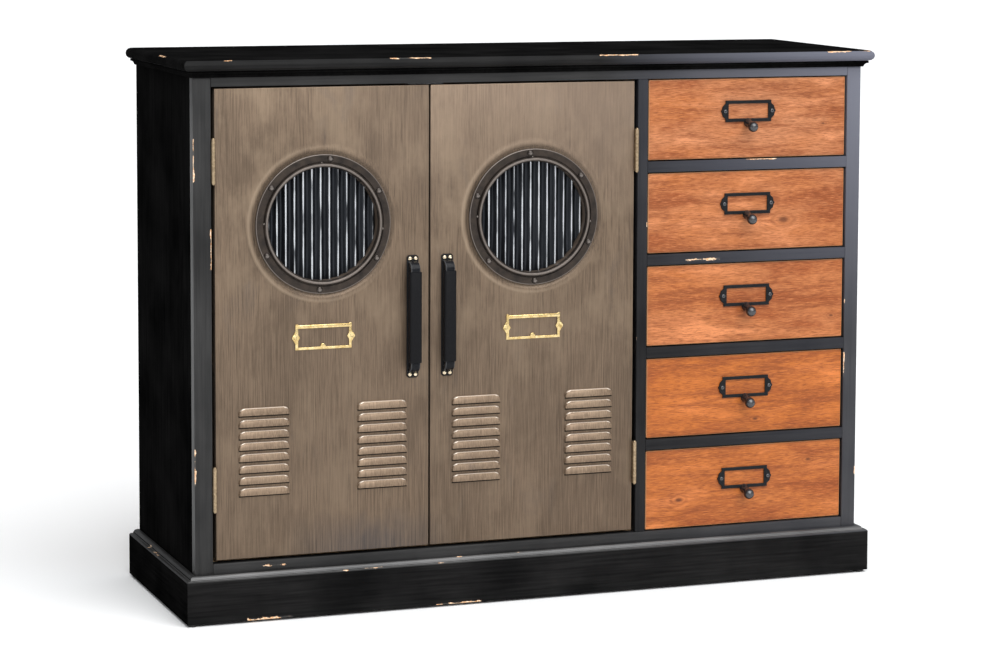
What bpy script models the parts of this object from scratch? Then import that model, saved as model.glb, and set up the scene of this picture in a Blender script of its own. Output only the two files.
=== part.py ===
"""Sideboard with two metal-faced cupboard doors beside a column of five drawers.

Metres, +Z up. The front faces -Y, and the origin lies on the floor under the middle of the
whole cabinet, pulls included. Each door hangs on an empty on its hinge axis, and each drawer
on an empty at the middle of its front.
"""

import math

import bmesh
import bpy
from mathutils import Vector

# Clearances
FIT = 0.0003  # between pieces that touch
PIN_CLEARANCE = 0.0003  # hinge pin in its knuckle
MITRE_GAP = 0.00045  # between the plinth's front and side boards

# Drawing
CURVE_STEPS = 4  # flats in a moulded curve
SMOOTH_ANGLE = math.radians(50)
CUT_REACH = 0.010  # cutting shapes past the faces that they cut
AXIS_DISPLAY_SIZE = 0.05

# Top and case
HEIGHT = 0.900
DEPTH = 0.400  # top board, front to back
TOP_THICKNESS = 0.018
TOP_OVERHANG = 0.018  # at the front and both sides
BULLNOSE_STEPS = 6
MOULDING_HEIGHT = 0.010  # stepped moulding under the top board
MOULDING_PROUD = 0.010
MOULDING_LIP = 0.0035  # width of its lower edge
SIDE_THICKNESS = 0.018
PANEL_THICKNESS = 0.016  # bottom panel, partition and shelf
BACK_THICKNESS = 0.006

# Face frame
FRAME_THICKNESS = 0.020
LEFT_STILE_WIDTH = 0.029
CENTRE_STILE_WIDTH = 0.018
RIGHT_STILE_WIDTH = 0.025
TOP_RAIL_DEPTH = 0.025  # down from the top board
BOTTOM_RAIL_RISE = 0.016  # above the plinth
DRAWER_OPENING_WIDTH = 0.366

# Plinth and glides
PLINTH_HEIGHT = 0.080  # from the floor to the top of its moulding
PLINTH_THICKNESS = 0.018
PLINTH_MOULDING_HEIGHT = 0.008
PLINTH_MOULDING_LIP = 0.005  # moulding's top edge, out from the case
GLIDE_HEIGHT = 0.004
GLIDE_RADIUS = 0.0075
GLIDE_SEGMENTS = 16
GLIDE_INSET = 0.011  # from the plinth's outer faces

# Shelf and catch
SHELF_HEIGHT = 0.330  # above the bottom panel
SHELF_SETBACK = 0.045  # behind the case front
CLEAT_SIZE = 0.015
CATCH_WIDTH = 0.060
CATCH_DEPTH = 0.015
CATCH_OVERLAP = 0.012  # behind the doors' top edges

# Doors
DOOR_WIDTH = 0.3555
DOOR_THICKNESS = 0.020
DOOR_RECESS = 0.002
SKIN_THICKNESS = 0.001
DOOR_HINGE_GAP = 0.006
DOOR_MEETING_GAP = 0.003
DOOR_TOP_GAP = 0.003
DOOR_BOTTOM_GAP = 0.005

# Portholes
PORTHOLE_DROP = 0.2195  # door's top edge to the centre
PORTHOLE_RADIUS = 0.091
RING_OVERLAP = 0.001  # ring over the edge of the hole
RING_FLANGE_RADIUS = 0.112
RING_FLANGE_THICKNESS = 0.003
RING_BEAD_WIDTH = 0.0075
RING_BEAD_HEIGHT = 0.007
RING_SEGMENTS = 40
RING_SCREWS = 6
RING_SCREW_RADIUS = 0.0048
RING_SCREW_TURN = math.radians(29)
SCREW_SEGMENTS = 8
SCREW_CROWN = 0.7  # radius and height of the dome's shoulder, as shares of the head's radius
SCREW_TIP = 0.85  # height of the dome, as a share of the head's radius
GRILLE_PITCH = 0.0145
GRILLE_DEPTH = 0.007
GRILLE_WAVE = 0.003
GRILLE_RIDGE = ((-0.5, 1.0), (-0.25, 0.5), (0.0, 0.0), (0.25, 0.5))  # shares of the pitch and the wave

# Louvres
LOUVRE_COUNT = 8
LOUVRE_WIDTH = 0.085
LOUVRE_HEIGHT = 0.0138
LOUVRE_PITCH = 0.0184
LOUVRE_PROUD = 0.0045
LOUVRE_CORNER = 0.009
LOUVRE_CORNER_STEPS = 3
LOUVRE_DRAFT = 0.002
LOUVRE_MARGIN = 0.0365  # from the door's side edges
LOUVRE_RISE = 0.102  # door's bottom edge to the lowest louvre

# Door pulls
PULL_RISE = 0.378  # door's bottom edge to the centre
PULL_EDGE = 0.028  # from the meeting edge
PULL_PLATE_WIDTH = 0.020
PULL_PLATE_LENGTH = 0.200
PULL_PLATE_THICKNESS = 0.002
PULL_PLATE_CHAMFER = 0.003
PULL_POST_SPACING = 0.169
PULL_POST_WIDTH = 0.017
PULL_POST_THICKNESS = 0.011
PULL_BEND_RADIUS = 0.008
PULL_BEND_TILTS = (90, 60, 30, 0)  # degrees
PULL_SEGMENTS = 12
PULL_GRIP_LENGTH = 0.148
PULL_GRIP_SHOULDER = 0.001
PULL_GRIP_WIDTH = 0.0225
PULL_GRIP_THICKNESS = 0.013
PULL_FINGER_GAP = 0.0065  # behind the grip

# Label frames on the doors
LABEL_DROP = 0.1815  # porthole centre to the frame's centre
LABEL_WIDTH = 0.094
LABEL_HEIGHT = 0.040
LABEL_WINDOW_WIDTH = 0.080
LABEL_WINDOW_HEIGHT = 0.026
LABEL_EAR = 0.006
LABEL_EAR_HEIGHT = 0.018
LABEL_THICKNESS = 0.002

# Hinges
HINGE_INSET = 0.1145  # door's top or bottom edge to the hinge's centre
HINGE_LENGTH = 0.070
HINGE_BARREL_RADIUS = 0.0032
HINGE_PIN_RADIUS = 0.0018
HINGE_AXIS_PROUD = 0.0027  # in front of the case
HINGE_LEAF_THICKNESS = 0.0015
HINGE_LEAF_DEPTH = 0.020
HINGE_LEAF_ROOT = 0.00225  # from the axis, within the barrel's wall
HINGE_SEGMENTS = 12
KNUCKLE_GAP = 0.0004

# Drawers
DRAWER_COUNT = 5
DIVIDER_THICKNESS = 0.018
DRAWER_FRONT_THICKNESS = 0.020
DRAWER_RECESS = 0.004
DRAWER_SIDE_GAP = 0.0025
DRAWER_HEIGHT_GAP = 0.002
DRAWER_BOX_PLAY = 0.0015
DRAWER_HEAD_ROOM = 0.030
DRAWER_WALL = 0.012
DRAWER_FLOOR = 0.009
DRAWER_BACK_GAP = 0.015
GUIDE_HEIGHT = 0.012

# Drawer pulls, each a label holder cast with a knob
HOLDER_RISE = 0.012  # above the middle of the drawer front
HOLDER_WIDTH = 0.087
HOLDER_HEIGHT = 0.036
HOLDER_EAR = 0.007
HOLDER_EAR_HEIGHT = 0.024
HOLDER_WINDOW_WIDTH = 0.073
HOLDER_WINDOW_HEIGHT = 0.025
HOLDER_THICKNESS = 0.003
KNOB_REACH = 0.030  # from the drawer front to the knob's tip
KNOB_RADIUS = 0.009
KNOB_BALL_ANGLES = (45, 80, 110, 140)  # degrees from the neck's side of the ball
KNOB_NECK_RADIUS = 0.006
KNOB_ROOT_RADIUS = 0.008
KNOB_ROOT_DROP = 0.0195  # below the holder's centre
KNOB_COLLAR = 0.0045  # from the drawer front to the end of the root
KNOB_COLLAR_RADIUS = 0.007
KNOB_DROP = 0.006  # from the root to the tip
KNOB_SEGMENTS = 12

# Worked out from the sizes above
DOOR_OPENING_WIDTH = 2 * DOOR_WIDTH + 2 * DOOR_HINGE_GAP + DOOR_MEETING_GAP
CASE_WIDTH = (
    LEFT_STILE_WIDTH + DOOR_OPENING_WIDTH + CENTRE_STILE_WIDTH + DRAWER_OPENING_WIDTH + RIGHT_STILE_WIDTH
)
CASE_DEPTH = DEPTH - TOP_OVERHANG
PULL_REACH = PULL_PLATE_THICKNESS + PULL_FINGER_GAP + PULL_GRIP_THICKNESS
FRONT_REACH = max(TOP_OVERHANG, FIT + KNOB_REACH - DRAWER_RECESS, FIT + PULL_REACH - DOOR_RECESS)
FACE_Y = (FRONT_REACH - CASE_DEPTH) / 2
BACK_Y = FACE_Y + CASE_DEPTH
FRAME_BACK_Y = FACE_Y + FRAME_THICKNESS + FIT
PANEL_BACK_Y = BACK_Y - BACK_THICKNESS - FIT
CASE_LEFT = -CASE_WIDTH / 2
CASE_RIGHT = CASE_WIDTH / 2
CASE_BOTTOM = GLIDE_HEIGHT + FIT
CASE_TOP = HEIGHT - TOP_THICKNESS - FIT
INNER_LEFT = CASE_LEFT + SIDE_THICKNESS + FIT
INNER_RIGHT = CASE_RIGHT - SIDE_THICKNESS - FIT
OPENING_LEFT = CASE_LEFT + LEFT_STILE_WIDTH
CENTRE_STILE_LEFT = OPENING_LEFT + DOOR_OPENING_WIDTH
DRAWERS_LEFT = CENTRE_STILE_LEFT + CENTRE_STILE_WIDTH
DRAWERS_RIGHT = DRAWERS_LEFT + DRAWER_OPENING_WIDTH
PARTITION_LEFT = DRAWERS_LEFT - PANEL_THICKNESS
OPENING_BOTTOM = PLINTH_HEIGHT + BOTTOM_RAIL_RISE
OPENING_TOP = HEIGHT - TOP_THICKNESS - TOP_RAIL_DEPTH
OPENING_HEIGHT = OPENING_TOP - OPENING_BOTTOM
DRAWER_OPENING_HEIGHT = (OPENING_HEIGHT - (DRAWER_COUNT - 1) * DIVIDER_THICKNESS) / DRAWER_COUNT
DRAWER_PITCH = DRAWER_OPENING_HEIGHT + DIVIDER_THICKNESS
DRAWER_FACE_Y = FACE_Y + DRAWER_RECESS
DOOR_FACE_Y = FACE_Y + DOOR_RECESS
DOOR_BOTTOM = OPENING_BOTTOM + DOOR_BOTTOM_GAP
DOOR_TOP = OPENING_TOP - DOOR_TOP_GAP
PORTHOLE_Z = DOOR_TOP - PORTHOLE_DROP


# ---------------------------------------------------------------- building blocks


def loft(rings, closed=False):
    """Skin over rings of points. A ring of one point makes a tip, and an open end gets a flat cap."""
    shape = bmesh.new()
    loops = [[shape.verts.new(point) for point in ring] for ring in rings]
    following = loops[1:] + loops[:1] if closed else loops[1:]
    for lower, upper in zip(loops, following):
        count = max(len(lower), len(upper))
        for i in range(count):
            j = (i + 1) % count
            corners = [lower[i % len(lower)], lower[j % len(lower)]]
            corners += [upper[j % len(upper)], upper[i % len(upper)]]
            shape.faces.new(dict.fromkeys(corners))
    if not closed:
        for end in (loops[0], loops[-1]):
            if len(end) > 2:
                shape.faces.new(end)
    bmesh.ops.recalc_face_normals(shape, faces=shape.faces)
    return shape


def block(low, high):
    """Rectangular solid between two corners."""
    corners = [(low[0], low[1]), (high[0], low[1]), (high[0], high[1]), (low[0], high[1])]
    return loft([[(x, y, z) for x, y in corners] for z in (low[2], high[2])])


def plate(outline, front, back):
    """Outline of (x, z) points given a thickness along Y."""
    return loft([[(x, y, z) for x, z in outline] for y in (front, back)])


def circle(radius, segments, turn=0.0):
    """Points round a circle, as (right, up) pairs."""
    angles = [turn + math.tau * i / segments for i in range(segments)]
    return [(radius * math.cos(a), radius * math.sin(a)) for a in angles]


def arc(centre, radius, start, end, steps):
    """Points along an arc, with both ends. Angles are in degrees."""
    angles = [math.radians(start + (end - start) * i / steps) for i in range(steps + 1)]
    return [(centre[0] + radius * math.cos(a), centre[1] + radius * math.sin(a)) for a in angles]


def turned(profile, segments):
    """Ring about the Y axis, from an outline of (radius, y) points."""
    rings = []
    for right, up in circle(1.0, segments):
        rings.append([(radius * right, y, radius * up) for radius, y in profile])
    return loft(rings, closed=True)


def merge(target, *others):
    """Shells added to the first shape without joining them."""
    for other in others:
        spare = bpy.data.meshes.new("spare")
        other.to_mesh(spare)
        other.free()
        target.from_mesh(spare)
        bpy.data.meshes.remove(spare)
    return target


def moved(shape, offset):
    bmesh.ops.translate(shape, verts=shape.verts, vec=Vector(offset))
    return shape


def add_object(name, shape, finish, place=(0, 0, 0), parent=None, smooth_angle=None):
    """New object whose shape is drawn about the point where it stands."""
    mesh = bpy.data.meshes.new(name)
    shape.to_mesh(mesh)
    shape.free()
    if smooth_angle:
        mesh.shade_smooth()
        mesh.set_sharp_from_angle(angle=smooth_angle)
    obj = bpy.data.objects.new(name, mesh)
    bpy.context.scene.collection.objects.link(obj)
    obj.parent = parent
    obj.location = Vector(place) - (parent.location if parent else Vector())
    if finish:
        mesh.materials.append(finish)
    return obj


def add_board(name, low, high, finish, parent=None):
    """Square-edged board between two corners, standing about its own middle."""
    middle = (Vector(low) + Vector(high)) / 2
    return add_object(name, block(Vector(low) - middle, Vector(high) - middle), finish, middle, parent)


def join_or_cut(obj, shape, operation):
    """Boolean with a hidden helper that shares the object's place."""
    helper = add_object(f"{obj.name}_{operation.lower()}", shape, None, (0, 0, 0), obj.parent)
    helper.location = obj.location
    helper.hide_render = True
    helper.display_type = "WIRE"
    boolean = obj.modifiers.new(operation.title(), "BOOLEAN")
    boolean.operation = operation
    boolean.object = helper
    return obj


def add_axis(name, place):
    """Empty that a moving group hangs on."""
    empty = bpy.data.objects.new(name, None)
    empty.empty_display_size = AXIS_DISPLAY_SIZE
    empty.location = place
    bpy.context.scene.collection.objects.link(empty)
    return empty


def make_finish(name, colour, roughness, metallic=0.0):
    finish = bpy.data.materials.new(name)
    finish.use_nodes = True
    finish.diffuse_color = (*colour, 1.0)
    shader = finish.node_tree.nodes["Principled BSDF"]
    shader.inputs["Base Color"].default_value = (*colour, 1.0)
    shader.inputs["Roughness"].default_value = roughness
    shader.inputs["Metallic"].default_value = metallic
    return finish


# ---------------------------------------------------------------- case


def make_top_board(finish):
    """Board with a rounded edge at the front and both sides, and a square one at the back."""
    half = CASE_WIDTH / 2 + TOP_OVERHANG
    front = FACE_Y - TOP_OVERHANG
    radius = TOP_THICKNESS / 2
    rings = []
    for inset, rise in arc((radius, radius), radius, 270, 90, BULLNOSE_STEPS):
        x = half - inset
        z = HEIGHT - TOP_THICKNESS + rise
        y = front + inset
        rings.append([(-x, y, z), (x, y, z), (x, BACK_Y, z), (-x, BACK_Y, z)])
    add_object("top_board", loft(rings), finish)


def make_top_moulding(finish):
    """Strip round the front and sides under the top board, with a cove below its square edge."""
    profile = [(FIT, 0.0)]
    profile += arc((MOULDING_PROUD, 0.0), MOULDING_PROUD - MOULDING_LIP, 180, 90, CURVE_STEPS)
    profile += [(MOULDING_PROUD, MOULDING_HEIGHT), (FIT, MOULDING_HEIGHT)]
    bottom = HEIGHT - TOP_THICKNESS - FIT - MOULDING_HEIGHT
    rings = []
    for side, y_back in ((-1, BACK_Y), (-1, None), (1, None), (1, BACK_Y)):
        ring = []
        for out, rise in profile:
            y = FACE_Y - out if y_back is None else y_back
            ring.append((side * (CASE_WIDTH / 2 + out), y, bottom + rise))
        rings.append(ring)
    add_object("top_moulding", loft(rings), finish)


def plinth_profile():
    """Section of the plinth board, as (out from the case, height), with a small ovolo on top."""
    flat_top = PLINTH_HEIGHT - PLINTH_MOULDING_HEIGHT
    step = PLINTH_MOULDING_HEIGHT / 4
    shoulder = PLINTH_THICKNESS - step
    radius = min(shoulder - PLINTH_MOULDING_LIP, PLINTH_MOULDING_HEIGHT - step)
    profile = [(FIT, CASE_BOTTOM), (PLINTH_THICKNESS, CASE_BOTTOM), (PLINTH_THICKNESS, flat_top)]
    profile += [(shoulder, flat_top + step)]
    profile += arc((PLINTH_MOULDING_LIP, PLINTH_HEIGHT - radius), radius, 0, 90, CURVE_STEPS)
    profile += [(FIT, PLINTH_HEIGHT)]
    return profile


def make_plinth(finish):
    """Front and side boards, mitred at the front corners."""
    profile = plinth_profile()
    half = CASE_WIDTH / 2
    ends = [[(side * (half + out), FACE_Y - out, z) for out, z in profile] for side in (-1, 1)]
    add_object("plinth_front", loft(ends), finish)
    for side, label in ((-1, "left"), (1, "right")):
        front = [(side * (half + out), FACE_Y - out + MITRE_GAP, z) for out, z in profile]
        back = [(side * (half + out), BACK_Y, z) for out, z in profile]
        add_object(f"plinth_{label}", loft([front, back]), finish)


def make_glides(finish):
    x = CASE_WIDTH / 2 + PLINTH_THICKNESS - GLIDE_INSET
    front = FACE_Y - PLINTH_THICKNESS + GLIDE_INSET
    back = BACK_Y - GLIDE_INSET
    for label, place in (
        ("front_left", (-x, front, 0)),
        ("front_right", (x, front, 0)),
        ("back_left", (-x, back, 0)),
        ("back_right", (x, back, 0)),
    ):
        rings = [[(a, b, z) for a, b in circle(GLIDE_RADIUS, GLIDE_SEGMENTS)] for z in (0, GLIDE_HEIGHT)]
        add_object(f"glide_{label}", loft(rings), finish, place, smooth_angle=SMOOTH_ANGLE)


def make_case(paint, inside):
    for label, left, right in (
        ("left", CASE_LEFT, INNER_LEFT - FIT),
        ("right", INNER_RIGHT + FIT, CASE_RIGHT),
    ):
        add_board(f"side_panel_{label}", (left, FRAME_BACK_Y, CASE_BOTTOM), (right, BACK_Y, CASE_TOP), paint)
    back_front = BACK_Y - BACK_THICKNESS
    add_board("back_panel", (INNER_LEFT, back_front, CASE_BOTTOM), (INNER_RIGHT, BACK_Y, CASE_TOP), inside)
    bottom = add_board(
        "bottom_panel",
        (INNER_LEFT, FRAME_BACK_Y, OPENING_BOTTOM - PANEL_THICKNESS),
        (INNER_RIGHT, PANEL_BACK_Y, OPENING_BOTTOM),
        inside,
    )
    join_or_cut(bottom, moved(guide_strip(OPENING_BOTTOM), -bottom.location), "UNION")
    add_board(
        "partition",
        (PARTITION_LEFT, FRAME_BACK_Y, OPENING_BOTTOM + FIT),
        (DRAWERS_LEFT, PANEL_BACK_Y, CASE_TOP),
        inside,
    )


def guide_strip(top):
    """Strip beside the drawers' right side, standing on a board whose upper face is at this height."""
    low = (DRAWERS_RIGHT, FRAME_BACK_Y + FIT, top - PANEL_THICKNESS / 2)
    return block(low, (INNER_RIGHT - FIT, PANEL_BACK_Y - FIT, top + GUIDE_HEIGHT))


def make_face_frame(paint):
    front, back = FACE_Y, FACE_Y + FRAME_THICKNESS
    add_board("stile_left", (CASE_LEFT, front, CASE_BOTTOM), (OPENING_LEFT, back, CASE_TOP), paint)
    add_board("stile_right", (DRAWERS_RIGHT, front, CASE_BOTTOM), (CASE_RIGHT, back, CASE_TOP), paint)
    left, right = OPENING_LEFT + FIT, DRAWERS_RIGHT - FIT
    add_board("rail_bottom", (left, front, CASE_BOTTOM), (right, back, OPENING_BOTTOM), paint)
    add_board("rail_top", (left, front, OPENING_TOP), (right, back, CASE_TOP), paint)
    add_board(
        "stile_centre",
        (CENTRE_STILE_LEFT, front, OPENING_BOTTOM + FIT),
        (DRAWERS_LEFT, back, OPENING_TOP - FIT),
        paint,
    )


def make_dividers(paint):
    """Boards that the drawers run on, each with its front edge in the face frame."""
    left, right = DRAWERS_LEFT + FIT, DRAWERS_RIGHT - FIT
    outline = [(left, FACE_Y), (right, FACE_Y), (right, FRAME_BACK_Y), (INNER_RIGHT, FRAME_BACK_Y)]
    outline += [(INNER_RIGHT, PANEL_BACK_Y), (left, PANEL_BACK_Y)]
    for number in range(1, DRAWER_COUNT):
        top = OPENING_TOP - number * DRAWER_PITCH + DIVIDER_THICKNESS
        rings = [[(x, y, z) for x, y in outline] for z in (top - DIVIDER_THICKNESS, top)]
        divider = add_object(f"drawer_divider_{number}", loft(rings), paint)
        join_or_cut(divider, guide_strip(top), "UNION")


def make_shelf(inside):
    """Loose shelf in the cupboard, with a cleat glued under each end."""
    top = OPENING_BOTTOM + SHELF_HEIGHT
    left, right = INNER_LEFT, PARTITION_LEFT - FIT
    front, back = FACE_Y + SHELF_SETBACK, PANEL_BACK_Y
    underside = top - PANEL_THICKNESS
    foot = underside - CLEAT_SIZE
    section = [(left, foot), (left + CLEAT_SIZE, foot), (left + CLEAT_SIZE, underside)]
    section += [(right - CLEAT_SIZE, underside), (right - CLEAT_SIZE, foot), (right, foot)]
    section += [(right, top), (left, top)]
    add_object("cupboard_shelf", plate(section, front, back), inside)


def make_catch(steel):
    """Magnetic catch under the top board, behind the edge where the doors meet."""
    centre = OPENING_LEFT + DOOR_OPENING_WIDTH / 2
    front = max(DOOR_FACE_Y + DOOR_THICKNESS, FACE_Y + FRAME_THICKNESS) + FIT
    low = (centre - CATCH_WIDTH / 2, front, DOOR_TOP - CATCH_OVERLAP)
    add_board("door_catch", low, (centre + CATCH_WIDTH / 2, front + CATCH_DEPTH, CASE_TOP), steel)


# ---------------------------------------------------------------- doors


def porthole_plug(front, back):
    """Solid that fills a porthole's hole between two depths."""
    return plate(circle(PORTHOLE_RADIUS + RING_OVERLAP, RING_SEGMENTS), front, back)


def make_door_core(side, centre_x, axis, finish):
    """Wooden slab, drawn about the porthole's centre."""
    half = DOOR_WIDTH / 2
    front = DOOR_FACE_Y + SKIN_THICKNESS + FIT
    back = DOOR_FACE_Y + DOOR_THICKNESS
    low = (-half, 0, DOOR_BOTTOM - PORTHOLE_Z)
    slab = block(low, (half, back - front, DOOR_TOP - PORTHOLE_Z))
    core = add_object(f"door_core_{side}", slab, finish, (centre_x, front, PORTHOLE_Z), axis)
    join_or_cut(core, porthole_plug(-CUT_REACH, DOOR_THICKNESS + CUT_REACH), "DIFFERENCE")


def louvre_outline(inset):
    """Outline of one louvre about its middle: straight below, rounded at both upper corners."""
    half = LOUVRE_WIDTH / 2 - inset
    bottom, top = -LOUVRE_HEIGHT / 2, LOUVRE_HEIGHT / 2 - inset
    corner = LOUVRE_CORNER - inset
    points = [(-half, bottom), (half, bottom)]
    points += arc((half - corner, top - corner), corner, 0, 90, LOUVRE_CORNER_STEPS)
    points += arc((corner - half, top - corner), corner, 90, 180, LOUVRE_CORNER_STEPS)
    return points


def louvre_group(centre_x):
    """Column of pressed louvres, drawn about the porthole's centre and sunk into the skin."""
    lowest = DOOR_BOTTOM + LOUVRE_RISE + LOUVRE_HEIGHT / 2 - PORTHOLE_Z
    shells = []
    for row in range(LOUVRE_COUNT):
        z = lowest + row * LOUVRE_PITCH
        depths = ((SKIN_THICKNESS / 2, 0.0), (-LOUVRE_PROUD, LOUVRE_DRAFT))
        rings = [[(centre_x + x, y, z + up) for x, up in louvre_outline(inset)] for y, inset in depths]
        shells.append(loft(rings))
    return merge(*shells)


def make_door_skin(side, centre_x, axis, finish):
    """Metal sheet over the door's front, with its louvres."""
    half = DOOR_WIDTH / 2
    sheet = block((-half, 0, DOOR_BOTTOM - PORTHOLE_Z), (half, SKIN_THICKNESS, DOOR_TOP - PORTHOLE_Z))
    skin = add_object(f"door_skin_{side}", sheet, finish, (centre_x, DOOR_FACE_Y, PORTHOLE_Z), axis)
    reach = half - LOUVRE_MARGIN - LOUVRE_WIDTH / 2
    join_or_cut(skin, merge(louvre_group(-reach), louvre_group(reach)), "UNION")
    join_or_cut(skin, porthole_plug(-CUT_REACH, CUT_REACH), "DIFFERENCE")


def make_porthole_ring(side, centre_x, axis, finish):
    """Flat flange with a rounded bead inside it, and six dome-headed screws."""
    bead_inner = PORTHOLE_RADIUS
    bead_centre = bead_inner + RING_BEAD_WIDTH / 2
    bead = arc((0, 0), 1.0, 20, 160, CURVE_STEPS)
    rise = RING_BEAD_HEIGHT - RING_FLANGE_THICKNESS
    profile = [(RING_FLANGE_RADIUS, 0.0), (RING_FLANGE_RADIUS, -RING_FLANGE_THICKNESS)]
    for right, up in bead:
        profile.append((bead_centre + right * RING_BEAD_WIDTH / 2, -RING_FLANGE_THICKNESS - up * rise))
    profile.append((bead_inner, 0.0))
    place = (centre_x, DOOR_FACE_Y - FIT, PORTHOLE_Z)
    shape = turned(profile, RING_SEGMENTS)
    ring = add_object(f"porthole_ring_{side}", shape, finish, place, axis, SMOOTH_ANGLE)
    screw_circle = (RING_FLANGE_RADIUS + bead_inner + RING_BEAD_WIDTH) / 2
    heads = []
    for x, z in circle(screw_circle, RING_SCREWS, RING_SCREW_TURN):
        heads.append(moved(screw_head(RING_SCREW_RADIUS), (x, -RING_FLANGE_THICKNESS, z)))
    join_or_cut(ring, merge(*heads), "UNION")


def screw_head(radius):
    """Domed head on the plane y = 0, sunk a little below it and facing -Y."""
    crown = radius * SCREW_CROWN
    levels = ((radius, radius / 4), (radius, -radius / 4), (crown, -crown))
    rings = [[(x, y, z) for x, z in circle(reach, SCREW_SEGMENTS)] for reach, y in levels]
    return loft(rings + [[(0, -radius * SCREW_TIP, 0)]])


def make_grille(side, centre_x, axis, finish):
    """Disc cut from an upright corrugated sheet, with its back level with the door's."""
    reach = PORTHOLE_RADIUS + 2 * GRILLE_PITCH
    count = math.ceil(reach / GRILLE_PITCH)
    front = [(-reach, 0.0)]
    for ridge in range(-count, count + 1):
        x = ridge * GRILLE_PITCH
        for along, depth in GRILLE_RIDGE:
            if abs(x + along * GRILLE_PITCH) < reach:
                front.append((x + along * GRILLE_PITCH, depth * GRILLE_WAVE))
    outline = front + [(reach, 0.0), (reach, GRILLE_DEPTH), (-reach, GRILLE_DEPTH)]
    sheet = loft([[(x, y, z) for x, y in outline] for z in (-reach, reach)])
    back = DOOR_FACE_Y + DOOR_THICKNESS
    place = (centre_x, back - GRILLE_DEPTH, PORTHOLE_Z)
    grille = add_object(f"grille_{side}", sheet, finish, place, axis)
    outline = circle(PORTHOLE_RADIUS + RING_OVERLAP - FIT, RING_SEGMENTS)
    disc = plate(outline, -CUT_REACH, GRILLE_DEPTH + CUT_REACH)
    join_or_cut(grille, disc, "INTERSECT")


def pull_rings():
    """Sections of the bow from one foot to the other: (y, z, half width, half thickness, tilt)."""
    stand = PULL_PLATE_THICKNESS + PULL_FINGER_GAP + PULL_GRIP_THICKNESS / 2
    half_post = PULL_POST_SPACING / 2
    half_grip = PULL_GRIP_LENGTH / 2
    post = (PULL_POST_WIDTH / 2, PULL_POST_THICKNESS / 2)
    upper = [(-PULL_PLATE_THICKNESS / 2, half_post, *post, 90)]
    bend_centre = (stand - PULL_BEND_RADIUS, half_post - PULL_BEND_RADIUS)
    bend = arc(bend_centre, PULL_BEND_RADIUS, 90, 0, len(PULL_BEND_TILTS) - 1)
    for tilt, (out, rise) in zip(PULL_BEND_TILTS, bend):
        upper.append((-out, rise, *post, tilt))
    upper.append((-stand, half_grip + PULL_GRIP_SHOULDER, *post, 0))
    upper.append((-stand, half_grip, PULL_GRIP_WIDTH / 2, PULL_GRIP_THICKNESS / 2, 0))
    lower = [(y, -z, width, thickness, -tilt) for y, z, width, thickness, tilt in reversed(upper)]
    return upper + lower


def make_door_pull(side, sign, centre_x, axis, finish):
    """Flat backplate with a bowed grip. The sign is +1 where the meeting edge is on the right."""
    rings = []
    for y, z, width, thickness, tilt in pull_rings():
        turn = math.radians(tilt)
        ring = []
        for right, out in circle(1.0, PULL_SEGMENTS):
            depth = out * thickness
            ring.append((right * width, y - depth * math.cos(turn), z + depth * math.sin(turn)))
        rings.append(ring)
    x = centre_x + sign * (DOOR_WIDTH / 2 - PULL_EDGE)
    place = (x, DOOR_FACE_Y - FIT, DOOR_BOTTOM + PULL_RISE)
    pull = add_object(f"door_pull_{side}", loft(rings), finish, place, axis, SMOOTH_ANGLE)
    half_width, half_length, cut = PULL_PLATE_WIDTH / 2, PULL_PLATE_LENGTH / 2, PULL_PLATE_CHAMFER
    outline = []
    for right, up in ((1, 1), (-1, 1), (-1, -1), (1, -1)):
        on_side = (right * half_width, up * (half_length - cut))
        on_end = (right * (half_width - cut), up * half_length)
        outline += (on_side, on_end) if right * up > 0 else (on_end, on_side)
    join_or_cut(pull, plate(outline, 0.0, -PULL_PLATE_THICKNESS), "UNION")


def eared_outline(width, height, ear, ear_height):
    """Rectangle with a pointed ear at each end, as (x, z) points."""
    half, top, tip = width / 2, height / 2, width / 2 + ear
    right = [(half, -top), (half, -ear_height), (tip, 0.0), (half, ear_height), (half, top)]
    left = [(-x, -z) for x, z in right]
    return right + left


def make_label_frame(side, centre_x, axis, finish):
    """Thin stamped frame that holds a paper label."""
    outline = eared_outline(LABEL_WIDTH, LABEL_HEIGHT, LABEL_EAR, LABEL_EAR_HEIGHT / 2)
    place = (centre_x, DOOR_FACE_Y - FIT, PORTHOLE_Z - LABEL_DROP)
    frame = add_object(f"label_frame_{side}", plate(outline, 0.0, -LABEL_THICKNESS), finish, place, axis)
    half, top = LABEL_WINDOW_WIDTH / 2, LABEL_WINDOW_HEIGHT / 2
    join_or_cut(frame, block((-half, -CUT_REACH, -top), (half, CUT_REACH, top)), "DIFFERENCE")


def barrel(sections):
    """Solid round bar along Z, from (height, radius) sections."""
    return loft([[(x, y, z) for x, y in circle(radius, HINGE_SEGMENTS)] for z, radius in sections])


def leaf(sign, joined, free):
    """Flat leaf that meets the barrel over its joined spans and stands clear of it over its free ones."""
    inner = HINGE_BARREL_RADIUS + 2 * KNUCKLE_GAP
    depth = HINGE_LEAF_DEPTH
    outline = [(depth, -HINGE_LENGTH / 2)]
    spans = [(low, high, HINGE_LEAF_ROOT) for low, high in joined]
    spans += [(low, high, inner) for low, high in free]
    for low, high, start in sorted(spans):
        outline += [(start, low), (start, high)]
    outline.append((depth, HINGE_LENGTH / 2))
    near = DOOR_HINGE_GAP / 2 - FIT - HINGE_LEAF_THICKNESS
    far = DOOR_HINGE_GAP / 2 - FIT
    return loft([[(sign * x, y, z) for y, z in outline] for x in (near, far)])


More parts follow.
